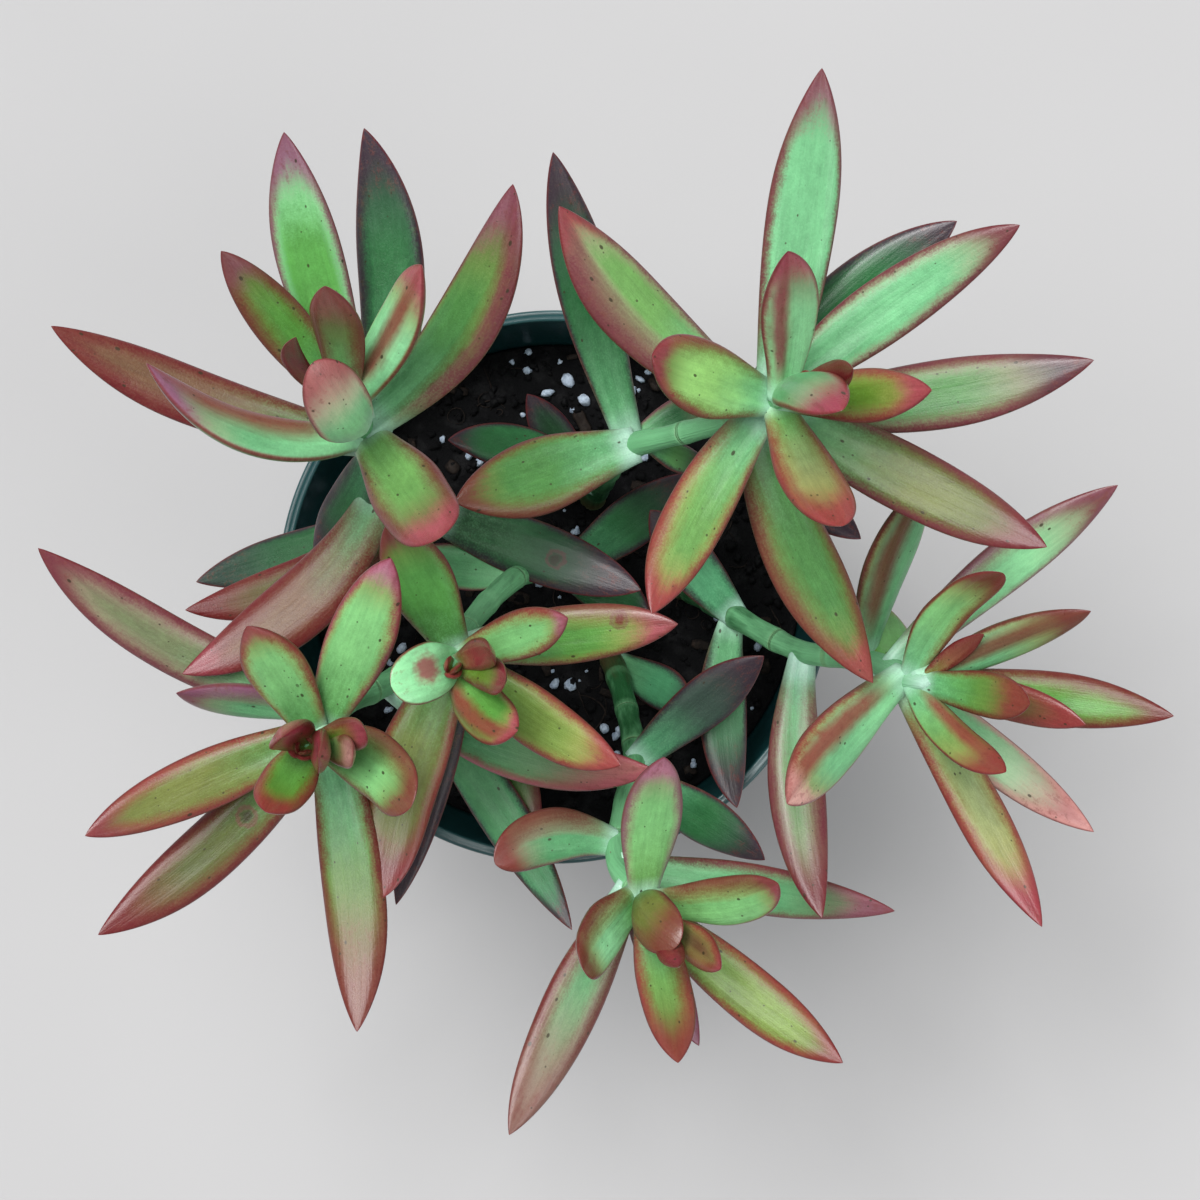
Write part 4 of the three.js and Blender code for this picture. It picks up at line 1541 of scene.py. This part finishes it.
@dataclass(frozen=True)
class Studio:
    """The pale floor, the soft light and the camera that looks straight down."""

    window: Lamp = Lamp("window", (-0.65, 0.8, 2.4), 0.85, 3.75)
    spark: Lamp = Lamp("spark", (-0.3, 0.42, 1.05), 0.22, 3.4)
    side: Lamp = Lamp("side", (1.3, -0.7, 1.3), 1.0, 11.0)
    middle: Triple = (0.0, 0.0, 0.1)
    lens_distance: float = 420.0
    sensor_width: float = 36.0
    nearest: float = 0.01
    floor_size: float = 40.0
    sky: Color = (0.93, 0.96, 1.0)
    sky_strength: float = 0.43

    def build(self) -> None:
        """Makes the floor, the lamps, the sky and the camera."""
        self._floor()
        self._sun(self.window)
        self._lamp(self.spark)
        self._lamp(self.side)
        self._sky()
        self._camera()

    def _floor(self) -> None:
        """Makes the floor."""
        half = self.floor_size / 2
        mesh = bpy.data.meshes.new("floor")
        corners = [(-half, -half, 0), (half, -half, 0), (half, half, 0), (-half, half, 0)]
        mesh.from_pydata(corners, [], [(0, 1, 2, 3)])
        mesh.materials.append(PaleGround().material())
        ground = bpy.data.objects.new("floor", mesh)
        bpy.context.scene.collection.objects.link(ground)
        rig.stage(ground)

    def _lamp(self, lamp: Lamp) -> None:
        """Adds a soft lamp that faces the plant.

        Args:
            lamp: Its name, place, size and power.
        """
        data = bpy.data.lights.new(lamp.name, "AREA")
        data.shape = "SQUARE"
        data.size = lamp.size
        data.energy = lamp.power
        light = bpy.data.objects.new(lamp.name, data)
        light.location = lamp.place
        aim = Vector(self.middle) - Vector(lamp.place)
        light.rotation_euler = aim.to_track_quat("-Z", "Y").to_euler()
        bpy.context.scene.collection.objects.link(light)

    @staticmethod
    def _sun(lamp: Lamp) -> None:
        """Adds a wide, even light that shines from the lamp's side of the plant.

        Args:
            lamp: Its name, place, angle in radians and strength.
        """
        data = bpy.data.lights.new(lamp.name, "SUN")
        data.angle = lamp.size
        data.energy = lamp.power
        light = bpy.data.objects.new(lamp.name, data)
        light.rotation_euler = (-Vector(lamp.place)).to_track_quat("-Z", "Y").to_euler()
        bpy.context.scene.collection.objects.link(light)

    def _sky(self) -> None:
        """Lights the scene evenly from all round."""
        world = bpy.data.worlds.new("sky")
        world.use_nodes = True
        light = world.node_tree.nodes["Background"]
        light.inputs["Color"].default_value = (*self.sky, 1.0)
        light.inputs["Strength"].default_value = self.sky_strength
        bpy.context.scene.world = world

    def _camera(self) -> None:
        """Looks down from the eye of the top view, with the whole picture at the rim's height."""
        data = bpy.data.cameras.new("camera")
        data.sensor_width = self.sensor_width
        width = VIEW.pixels * VIEW.mm_per_pixel_at_rim
        data.lens = self.sensor_width * self.lens_distance / width
        data.clip_start = self.nearest
        camera = bpy.data.objects.new("camera", data)
        camera.location = Vector(VIEW.eye) * MM
        bpy.context.scene.collection.objects.link(camera)
        bpy.context.scene.camera = camera
        bpy.context.scene.view_settings.view_transform = "Standard"


# The shoots, from the left rear round to the one in the middle

SHADED = (
    "a13", "a14", "a15", "a16", "b16", "b18", "b19", "b20", "b21", "c13", "c15", "c16",
    "d06", "d13", "d14", "d15", "e13", "e14", "f11", "f14", "f15", "f16",
)  # fmt: skip

SHOOTS = (
    Shoot(
        "a",
        (
            (-13, 8, 60, 2.5),
            (-17, 10.5, 80, 2.3),
            (-22, 13, 100, 2.1),
            (-27, 17.5, 125, 2.1),
            (-29.6, 24.6, 140, 2.3),
            (-32, 30.5, 153, 1.2),
        ),
        (
            Leaf(
                "a01", 137, (51, 326), 147, 9.6, Look.TOASTED, 0.5, 0.36, 0.12,
                heart=Tone.BRONZE, sway=-0.04,
            ),
            Leaf(
                "a02", 140, (146, 363), 165, 9.4, Look.BACK, 0.03, 0.3, 0.2,
                heart=Tone.MINT, end=Tone.VIOLET, ridge=(0.5, 1.1, 1.0), roll=40, bow=0.1, sway=-0.1,
            ),
            Leaf(
                "a03", 146, (221, 251), 166, 8.4, Look.MEADOW, 0.42, 0.3, 0.18,
                heart=Tone.GRASS, end=Tone.MAUVE,
            ),
            Leaf(
                "a04", 143, (284, 132), 161, 10.6, Look.FRESH, 0.18, 0.18, 0.17,
                heart=Tone.CLOVER, glow=Tone.PALE_MINT, rim=Tone.MAUVE, end=Tone.VIOLET, sway=-0.03,
            ),
            Leaf("a05", 137, (364, 128), 148, 10.8, Look.SHADED, 0.24, 0.18, 0.18, sway=0.07),
            Leaf(
                "a06", 141, (513, 184), 158, 10.8, Look.MEADOW, 0.1, 0.5, 0.2,
                foot=Tone.MINT, rim=Tone.WINE, end=Tone.MAUVE, ridge=(0.62, 0.2, 0.6), sway=0.09,
            ),
            Leaf(
                "a10", 144, (313, 362), 172, 10, Look.BACK, 0.08, 0.12, 0.2,
                foot=Tone.FROST, heart=Tone.PALE_MINT, glow=Tone.BLUSH, rim=Tone.DUSKY_ROSE,
                end=Tone.DUSKY_ROSE, roll=180, bow=0.12, sway=0.05, blunt=1.0,
            ),
            Leaf(
                "a11", 140, (441, 537), 168, 12, Look.TOASTED, 0.28, 0.28, 0.2,
                foot=Tone.LEAF_GREEN, heart=Tone.LEAF_GREEN, rim=Tone.CRIMSON, end=Tone.ROSE, blunt=1.0,
            ),
            Leaf(
                "a12", 127, (182, 674), 124, 11.4, Look.TOASTED, 0.5, 0.5, 0.14,
                foot=Tone.CELADON, heart=Tone.BRONZE, glow=Tone.BRONZE, rim=Tone.CRIMSON, end=Tone.ROSE,
                sway=-0.1,
            ),
            Leaf("a14", 99, (196, 582), 106, 9.4, Look.SHADED, 0.12, 0.12, 0.2, end=Tone.DUSK),
            Leaf(
                "a16", 101, (641, 590), 104, 11, Look.SHADED, 0.14, 0.24, 0.3,
                foot=Tone.DEEP_GREEN, rim=Tone.PLUM, scar=(0.6, 0.0, 1.9),
            ),
        ),
        (
            Leaf(
                "a07", 148, (422, 265), 170, 9.4, Look.EMBER, 0.1, 0.04, 0.2,
                heart=Tone.PALE_MINT, rim=Tone.BRICK, end=Tone.ROSE, ridge=(0.18, 0.6, 1.0), roll=-20,
                sway=-0.03,
            ),
            Leaf(
                "a08", 150, (325, 286), 175, 8, Look.MEADOW, 0.42, 0.42, 0.3,
                heart=Tone.LEAF_GREEN, glow=Tone.BRONZE, end=Tone.DUSKY_ROSE,
            ),
            Leaf(
                "a09", 148, (296, 337), 170, 3.8, Look.BUD, 0.4, 0.4, 0.6,
                end=Tone.RASPBERRY, roll=-30, sway=-0.16,
            ),
            Leaf("a13", 134, (314, 560), 114, 9.5, Look.SHADED, 0.35, 0.4, 0.25),
            Leaf(
                "a15", 111, (185, 610), 115, 9, Look.TOASTED, 0.3, 0.35, 0.2,
                heart=Tone.DARK_OLIVE, end=Tone.CRIMSON, sway=-0.09,
            ),
        ),
    ),
    Shoot(
        "b",
        (
            (6, 16, 60, 2.5),
            (8, 18.5, 80, 2.2),
            (11, 22, 103, 2),
            (14.5, 24, 121, 2.1),
            (22, 25.3, 129, 1.9),
            (30, 27, 138, 2),
            (35, 28.6, 148, 2.2),
            (38.5, 29.8, 160, 1.2),
        ),
        (
            Leaf(
                "b01", 149, (822, 68), 160, 11.4, Look.COOL, 0.2, 0.14, 0.15,
                foot=Tone.CELADON, heart=Tone.MINT, glow=Tone.MINT, rim=Tone.WINE, end=Tone.MAUVE,
                sway=0.02,
            ),
            Leaf("b02", 141, (957, 221), 145, 11, Look.SHADED, 0.16, 0.1, 0.16, sway=-0.04),
            Leaf(
                "b03", 147, (1020, 225), 160, 10.2, Look.COOL, 0.2, 0.18, 0.13,
                foot=Tone.CELADON, rim=Tone.WINE, end=Tone.WINE, sway=-0.03,
            ),
            Leaf(
                "b04", 144, (1094, 360), 150, 11, Look.MEADOW, 0.26, 0.24, 0.18,
                glow=Tone.TAUPE, rim=Tone.WINE, end=Tone.PLUM, sway=0.03,
            ),
            Leaf(
                "b05", 148, (1047, 547), 154, 11.2, Look.TOASTED, 0.28, 0.22, 0.18,
                foot=Tone.MINT, glow=Tone.DARK_OLIVE, rim=Tone.WINE, end=Tone.CRIMSON,
            ),
            Leaf(
                "b06", 150, (843, 526), 174, 9.4, Look.SUNLIT, 0.36, 0.4, 0.26,
                foot=Tone.SPRING, heart=Tone.SAGE, blunt=0.7,
            ),
            Leaf(
                "b07", 147, (652, 614), 158, 10.4, Look.SUNLIT, 0.2, 0.34, 0.15,
                heart=Tone.LEAF_GREEN, sway=0.03,
            ),
            Leaf(
                "b08", 142, (873, 683), 136, 12, Look.MEADOW, 0.22, 0.36, 0.14,
                foot=Tone.FERN, heart=Tone.FERN, end=Tone.CORAL, sway=0.03,
            ),
            Leaf(
                "b09", 150, (652, 355), 172, 11.6, Look.SUNLIT, 0.16, 0.3, 0.14,
                heart=Tone.PEAR, glow=Tone.OLIVE, end=Tone.RASPBERRY, blunt=0.3,
            ),
            Leaf(
                "b10", 144, (559, 206), 153, 12, Look.SUNLIT, 0.75, 0.16, 0.12,
                glow=Tone.DUSTY, rim=Tone.WINE, end=Tone.CORAL, sway=-0.05,
            ),
            Leaf("b15", 121, (455, 502), 130, 12.6, Look.MEADOW, 0.28, 0.14, 0.14, end=Tone.UMBER),
            Leaf("b16", 119, (553, 152), 132, 9.8, Look.SHADED, 0.1, 0.14, 0.22, foot=Tone.CELADON),
        ),
        (
            Leaf(
                "b11", 152, (788, 251), 178, 8.8, Look.BACK, 0.12, 0.08, 0.2,
                rim=Tone.RASPBERRY, end=Tone.ROSE, ridge=(-0.45, 0.5, 1.0), sway=0.05,
            ),
            Leaf(
                "b12", 152, (932, 390), 169, 8.3, Look.YELLOWED, 0.34, 0.32, 0.2,
                foot=Tone.GRASS, heart=Tone.MOSS, end=Tone.ROSE,
            ),
            Leaf("b13", 156, (853, 369), 177, 5.5, Look.BUD, 0.5, 0.5, 0.4, end=Tone.CRIMSON),
            Leaf(
                "b14", 154, (843, 410), 182, 8.8, Look.BACK, 0.2, 0.06, 0.22,
                foot=Tone.PALE_MINT, heart=Tone.CELADON, end=Tone.RASPBERRY, roll=180, blunt=0.6,
            ),
            Leaf("b17", 117, (722, 392), 124, 7, Look.COOL, 0.15, 0.15, 0.2, heart=Tone.DARK_GREEN),
            Leaf("b18", 136, (861, 539), 129, 9, Look.SUNKEN, 0.5, 0.5, 0.5),
            Leaf("b19", 123, (712, 470), 117, 5, Look.SHADED, 0.2, 0.2, 0.3, heart=Tone.SPRING),
            Leaf(
                "b20", 82, (448, 440), 92, 9, Look.SUNKEN, 0.1, 0.1, 0.1,
                heart=Tone.DARK_GREEN, sway=0.08,
            ),
            Leaf("b21", 76, (527, 394), 84, 7.6, Look.SUNKEN, 0.3, 0.3, 0.15, end=Tone.PLUM),
        ),
    ),
    Shoot(
        "c",
        (
            (21, 1, 60, 2.5),
            (26, -1, 78, 2.2),
            (33, -5.5, 94, 2.2),
            (44, -11.5, 107, 1.9),
            (54.5, -12.8, 117, 2),
            (60.5, -15.6, 123, 2.2),
            (62.8, -16.3, 126.4, 1.2),
        ),
        (
            Leaf(
                "c01", 120, (1118, 485), 132, 9.3, Look.COOL, 0.32, 0.14, 0.18,
                heart=Tone.PALE_MINT, rim=Tone.MAUVE, end=Tone.WINE,
            ),
            Leaf(
                "c03", 124, (1091, 611), 138, 7.6, Look.EMBER, 0.1, 0.06, 0.26,
                heart=Tone.MINT, rim=Tone.UMBER, end=Tone.CRIMSON, ridge=(-0.3, 0.75, 1.0), roll=20,
                sway=0.03,
            ),
            Leaf(
                "c04", 124.5, (1174, 716), 131, 9, Look.YELLOWED, 0.45, 0.3, 0.12,
                heart=Tone.GRASS, glow=Tone.OLIVE, rim=Tone.CRIMSON, end=Tone.CRIMSON,
            ),
            Leaf(
                "c08", 118, (1094, 832), 116, 8.6, Look.DUSTED, 0.2, 0.22, 0.26,
                heart=Tone.PALE_MINT, glow=Tone.ASH, rim=Tone.BLUSH, end=Tone.DUSKY_ROSE,
            ),
            Leaf(
                "c09", 121, (1042, 927), 127, 9, Look.YELLOWED, 0.3, 0.36, 0.21,
                heart=Tone.SAGE, end=Tone.RASPBERRY, sway=-0.03,
            ),
            Leaf(
                "c10", 122, (787, 804), 145, 10.4, Look.EMBER, 0.06, 0.14, 0.16,
                foot=Tone.PALE_MINT, heart=Tone.MINT, rim=Tone.BRICK, end=Tone.BLUSH,
                ridge=(0.42, 0.62, 1.0), blunt=0.3,
            ),
            Leaf(
                "c11", 107, (822, 918), 120, 9.8, Look.MEADOW, 0.5, 0.4, 0.2,
                foot=Tone.COOL_MINT, heart=Tone.FERN, glow=Tone.TAUPE, rim=Tone.WINE, end=Tone.CRIMSON,
                roll=20, sway=0.06,
            ),
            Leaf(
                "c12", 116, (930, 478), 138, 9, Look.EMBER, 0.1, 0.05, 0.1,
                heart=Tone.MINT, rim=Tone.UMBER, ridge=(-0.35, 0.75, 1.0), roll=10,
            ),
            Leaf(
                "c16", 93, (737, 808), 96, 9, Look.SHADED, 0.2, 0.2, 0.3,
                foot=Tone.MINT, heart=Tone.MINT, sway=0.05,
            ),
        ),
        (
            Leaf(
                "c02", 123, (1003, 573), 146, 7.8, Look.FRESH, 0.06, 0.4, 0.2,
                foot=Tone.MINT, end=Tone.CRIMSON, sway=-0.05, blunt=0.8,
            ),
            Leaf(
                "c05", 125.2, (1030, 704), 145, 7.4, Look.MEADOW, 0.26, 0.2, 0.3,
                heart=Tone.GRASS, end=Tone.BRICK, blunt=0.4,
            ),
            Leaf(
                "c06", 125, (1086, 725), 137, 7, Look.TOASTED, 0.4, 0.5, 0.3,
                rim=Tone.BRICK, end=Tone.BRICK, roll=20,
            ),
            Leaf(
                "c07", 123, (1006, 772), 144, 6.6, Look.EMBER, 0.12, 0.06, 0.26,
                heart=Tone.LEAF_GREEN, ridge=(-0.42, 0.7, 1.0), sway=0.05, blunt=0.4,
            ),
            Leaf("c13", 122.5, (878, 600), 106, 9.5, Look.FRESH, 0.08, 0.08, 0.1, heart=Tone.SPRING),
            Leaf(
                "c14", 125.4, (984, 634), 133, 3.6, Look.BUD, 0.5, 0.5, 0.5,
                heart=Tone.OLIVE, end=Tone.UMBER,
            ),
            Leaf("c15", 94, (650, 510), 100, 9.5, Look.SHADED, 0.2, 0.2, 0.3, heart=Tone.COOL_MINT),
        ),
        crown=0,
    ),
    Shoot(
        "d",
        (
            (8.3, -10, 58, 2.5),
            (11, -15, 72, 2.3),
            (13.5, -24, 86, 2.1),
            (14.5, -31, 96, 2.1),
            (12.3, -39, 106, 1.8),
            (11.3, -48, 114, 1.9),
            (15.1, -52.2, 120, 2.2),
            (17.5, -55.1, 125.5, 2),
            (18.4, -56, 128.6, 1.1),
        ),
        (
            Leaf(
                "d01", 121, (664, 757), 143, 10, Look.FRESH, 0.2, 0.18, 0.16,
                heart=Tone.APPLE, glow=Tone.DUSTY, rim=Tone.MAUVE, end=Tone.PINK,
            ),
            Leaf(
                "d03", 114, (895, 911), 107, 9, Look.COOL, 0.24, 0.2, 0.2,
                heart=Tone.CELADON, glow=Tone.LICHEN, rim=Tone.WINE, end=Tone.MAUVE, sway=0.03,
            ),
            Leaf(
                "d04", 124, (843, 1063), 130, 9.8, Look.YELLOWED, 0.32, 0.24, 0.12,
                glow=Tone.OLIVE, end=Tone.CRIMSON, sway=0.03,
            ),
            Leaf(
                "d05", 122, (678, 1063), 141, 9.2, Look.SUNLIT, 0.5, 0.36, 0.25,
                heart=Tone.LEAF_GREEN, glow=Tone.OLIVE, rim=Tone.BRICK, end=Tone.UMBER, sway=-0.02,
            ),
            Leaf(
                "d07", 118, (509, 1135), 125, 10.6, Look.DUSTED, 0.5, 0.42, 0.32,
                foot=Tone.CELADON, heart=Tone.CELADON, glow=Tone.TAUPE, rim=Tone.CRIMSON, end=Tone.TAUPE,
                sway=-0.02,
            ),
            Leaf(
                "d12", 111, (495, 864), 122, 9.6, Look.COOL, 0.1, 0.75, 0.2,
                foot=Tone.MINT, heart=Tone.CELADON, rim=Tone.UMBER, end=Tone.BRICK, roll=15, sway=0.12,
                blunt=0.8,
            ),
            Leaf("d13", 97, (764, 656), 105, 9.4, Look.SHADED, 0.2, 0.2, 0.3, heart=Tone.DUSK),
        ),
        (
            Leaf(
                "d02", 122, (778, 883), 144, 9, Look.FRESH, 0.5, 0.06, 0.12,
                heart=Tone.APPLE, rim=Tone.UMBER, end=Tone.RASPBERRY, sway=0.1, blunt=0.3,
            ),
            Leaf("d06", 116, (699, 1046), 117, 7, Look.COOL, 0.6, 0.6, 0.6, end=Tone.VIOLET),
            Leaf(
                "d08", 120, (583, 969), 141, 9.5, Look.FRESH, 0.1, 0.48, 0.15,
                foot=Tone.GRASS, heart=Tone.PALE_MINT, rim=Tone.CRIMSON, end=Tone.UMBER, blunt=1.0,
            ),
            Leaf(
                "d09", 122, (679, 944), 139, 8.6, Look.TOASTED, 0.15, 0.45, 0.3,
                heart=Tone.OLIVE, glow=Tone.OLIVE, rim=Tone.UMBER, end=Tone.UMBER, roll=180, bow=0.12,
                blunt=1.2,
            ),
            Leaf(
                "d10", 127, (721, 969), 147, 6, Look.YELLOWED, 0.3, 0.45, 0.12,
                heart=Tone.BRONZE, end=Tone.ROSE,
            ),
            Leaf("d11", 127, (678, 967), 147, 4.5, Look.BUD, 0.5, 0.5, 0.25, end=Tone.RASPBERRY),
            Leaf("d14", 100, (765, 860), 97, 9, Look.SHADED, 0.1, 0.1, 0.2),
            Leaf(
                "d15", 70, (693, 707), 84, 8.4, Look.SHADED, 0.15, 0.15, 0.15,
                foot=Tone.MINT, heart=Tone.COOL_MINT,
            ),
        ),
    ),
    Shoot(
        "e",
        (
            (-15, -8, 60, 2.5),
            (-22, -13, 85, 2.3),
            (-29, -17, 107, 2.2),
            (-36, -20.5, 121, 2.2),
            (-38, -24.5, 132, 2.2),
            (-38.9, -25.8, 140.2, 1.2),
        ),
        (
            Leaf(
                "e01", 134, (247, 626), 153, 9.8, Look.FRESH, 0.18, 0.24, 0.13,
                foot=Tone.FERN, end=Tone.DUSKY_ROSE,
            ),
            Leaf(
                "e02", 132, (391, 558), 153, 10.8, Look.FRESH, 0.13, 0.18, 0.14,
                foot=Tone.FERN, heart=Tone.APPLE, rim=Tone.RASPBERRY, end=Tone.PINK,
            ),
            Leaf(
                "e03", 135, (411, 807), 155, 10.6, Look.FRESH, 0.45, 0.16, 0.16,
                heart=Tone.APPLE, glow=Tone.OLIVE, rim=Tone.UMBER, end=Tone.UMBER, sway=-0.06, blunt=0.8,
            ),
            Leaf(
                "e07", 130, (85, 836), 138, 9.9, Look.TOASTED, 0.36, 0.34, 0.14,
                heart=Tone.OLIVE, glow=Tone.OLIVE, rim=Tone.BRICK, end=Tone.WINE,
            ),
            Leaf(
                "e08", 127, (98, 935), 128, 10.5, Look.TOASTED, 0.28, 0.28, 0.16,
                heart=Tone.DARK_OLIVE, glow=Tone.UMBER, rim=Tone.CRIMSON, end=Tone.CRIMSON,
                scar=(0.4, 0.0, 1.9), sway=-0.05,
            ),
            Leaf(
                "e09", 129, (357, 1032), 135, 10.8, Look.BACK, 0.27, 0.27, 0.34,
                foot=Tone.MINT, heart=Tone.FERN, glow=Tone.OLIVE, rim=Tone.CRIMSON, end=Tone.UMBER,
                sway=-0.03,
            ),
            Leaf(
                "e10", 121, (38, 548), 129, 10, Look.DUSTED, 0.34, 0.32, 0.12,
                heart=Tone.LICHEN, glow=Tone.TAUPE, rim=Tone.WINE, end=Tone.WINE, sway=-0.09,
            ),
            Leaf(
                "e12", 107, (655, 770), 118, 10.3, Look.DUSTED, 0.14, 0.28, 0.3,
                foot=Tone.CELADON, heart=Tone.CELADON, glow=Tone.LICHEN, rim=Tone.ROSE,
                end=Tone.DUSKY_ROSE, sway=0.1,
            ),
            Leaf(
                "e13", 100, (572, 930), 101, 9, Look.COOL, 0.16, 0.16, 0.12,
                heart=Tone.CELADON, glow=Tone.COOL_MINT, rim=Tone.PLUM, end=Tone.PLUM,
            ),
        ),
        (
            Leaf(
                "e04", 136, (266, 812), 154, 8.8, Look.YELLOWED, 0.36, 0.3, 0.22,
                heart=Tone.GRASS, glow=Tone.MOSS, rim=Tone.BRICK, end=Tone.BRICK, blunt=0.35,
            ),
            Leaf("e05", 139, (281, 738), 154, 7.6, Look.BUD, 0.4, 0.2, 0.4, heart=Tone.CORAL),
            Leaf("e06", 139, (318, 757), 155, 7, Look.BUD, 0.4, 0.4, 0.4, heart=Tone.CORAL),
            Leaf(
                "e11", 124, (176, 693), 134, 8, Look.BACK, 0.05, 0.6, 0.2,
                foot=Tone.PALE_MINT, heart=Tone.MINT, rim=Tone.VIOLET, end=Tone.MAUVE, roll=-35,
                sway=-0.06,
            ),
            Leaf(
                "e14", 94, (532, 858), 97, 9.5, Look.MEADOW, 0.3, 0.2, 0.2,
                rim=Tone.WINE, end=Tone.WINE, sway=-0.1,
            ),
            Leaf("e15", 138, (366, 733), 157, 5.5, Look.BUD, 0.4, 0.3, 0.3, heart=Tone.MOSS, blunt=0.8),
            Leaf(
                "e16", 137, (353, 757), 156, 5.5, Look.BUD, 0.4, 0.4, 0.3,
                heart=Tone.SPRING, end=Tone.BLUSH, blunt=0.8,
            ),
        ),
    ),
    Shoot(
        "f",
        (
            (4.5, 0.5, 60, 2.5),
            (3.5, 1.5, 74, 2.2),
            (0.5, 2.3, 86, 2),
            (-5.7, 2.2, 99, 2.1),
            (-14, -6.5, 117, 1.9),
            (-15.5, -12, 130, 2.2),
            (-15.5, -12.9, 137, 1.2),
        ),
        (
            Leaf(
                "f01", 129, (388, 522), 146, 10.9, Look.MEADOW, 0.14, 0.14, 0.18,
                foot=Tone.FERN, heart=Tone.CLOVER, end=Tone.WINE,
            ),
            Leaf(
                "f03", 126, (678, 624), 131, 10, Look.SUNLIT, 0.38, 0.18, 0.18,
                heart=Tone.GRASS, rim=Tone.UMBER, end=Tone.ROSE, scar=(0.74, -0.35, 1.6),
                mark=Tone.CRIMSON,
            ),
            Leaf(
                "f04", 128, (621, 765), 141, 9.8, Look.YELLOWED, 0.24, 0.18, 0.16,
                rim=Tone.BRICK, end=Tone.CORAL, sway=0.06,
            ),
            Leaf(
                "f10", 127, (382, 898), 130, 11.8, Look.TOASTED, 0.28, 0.26, 0.22,
                foot=Tone.FERN, heart=Tone.OLIVE, glow=Tone.OLIVE, rim=Tone.BRICK, end=Tone.WINE,
                sway=0.05, blunt=0.4,
            ),
        ),
        (
            Leaf("f02", 131, (568, 618), 150, 8, Look.FRESH, 0.28, 0.24, 0.12, end=Tone.PINK),
            Leaf(
                "f06", 132, (518, 730), 150, 8.8, Look.FRESH, 0.1, 0.1, 0.12,
                heart=Tone.GRASS, rim=Tone.BRICK, ridge=(0.42, 0.62, 1.0), sway=0.1, blunt=0.4,
            ),
            Leaf(
                "f07", 135, (505, 682), 153, 6, Look.BUD, 0.3, 0.45, 0.25,
                heart=Tone.MOSS, glow=Tone.OLIVE, rim=Tone.CRIMSON, end=Tone.RASPBERRY, blunt=0.5,
            ),
            Leaf(
                "f08", 135.5, (491, 652), 155, 5.4, Look.BUD, 0.4, 0.4, 0.5,
                heart=Tone.CORAL, glow=Tone.CORAL, end=Tone.CORAL, blunt=0.5,
            ),
            Leaf(
                "f09", 131, (391, 686), 146, 9.2, Look.BACK, 0.05, 0.05, 0.12,
                heart=Tone.PALE_MINT, glow=Tone.PALE_MINT, end=Tone.PALE_MINT, scar=(0.62, 0.15, 4.0),
                mark=Tone.RASPBERRY, bow=-0.1, blunt=1.2,
            ),
            Leaf("f11", 119, (396, 905), 112, 8, Look.SUNKEN, 0.6, 0.6, 0.5),
            Leaf("f14", 86, (697, 473), 98, 9.5, Look.SHADED, 0.2, 0.2, 0.25),
            Leaf("f15", 99, (400, 560), 100, 8.4, Look.COOL, 0.1, 0.1, 0.1, heart=Tone.CELADON),
            Leaf("f16", 79, (650, 615), 84, 8.6, Look.SUNKEN, 0.1, 0.1, 0.1, heart=Tone.DARK_GREEN),
        ),
        crown=3,
    ),
)


def main() -> None:
    """Builds the plant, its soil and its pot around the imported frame."""
    logging.basicConfig(level=logging.INFO, format="%(name)s: %(message)s")
    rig.load()
    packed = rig.bounds()
    finishes = {
        "leaf": LeafSkin("leaf_skin").material(),
        "shaded_leaf": LeafSkin("shaded_leaf_skin", roughness=0.46, wax=0.08, speck_share=0.22).material(),
        "stem": StemSkin().material(),
        # The potting mix is painted nearly black and bluish: partly the damp mix's own dark colour, partly painted
        # shade under the leaves.
        "soil": Earth("potting_mix", (0.0004, 0.0005, 0.0008), (0.0032, 0.0031, 0.0037)).material(),
        "perlite": Earth(
            "perlite", (0.24, 0.31, 0.41), (0.6, 0.7, 0.82), 1500.0, 0.9, relief=0.0003, damp=0.0
        ).material(),
        "bark": Earth("bark", (0.004, 0.003, 0.0025), (0.026, 0.018, 0.014), 1200.0, 0.8, 0.0003).material(),
        "pot": PotPlastic().material(),
    }
    for shoot in SHOOTS:
        LOG.info("shoot %s: %d pieces", shoot.letter, shoot.build(finishes, SHADED))
    LOG.info("soil: %d pieces", SoilBed().build(finishes))
    LOG.info("pot: %s", NurseryPot().build(finishes["pot"]).name)
    Studio().build()
    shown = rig.bounds()
    boxes = {"packed": [list(corner) for corner in packed], "shown": [list(corner) for corner in shown]}
    with open("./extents.json", "w") as file:
        json.dump(boxes, file)


if __name__ == "__main__":
    main()
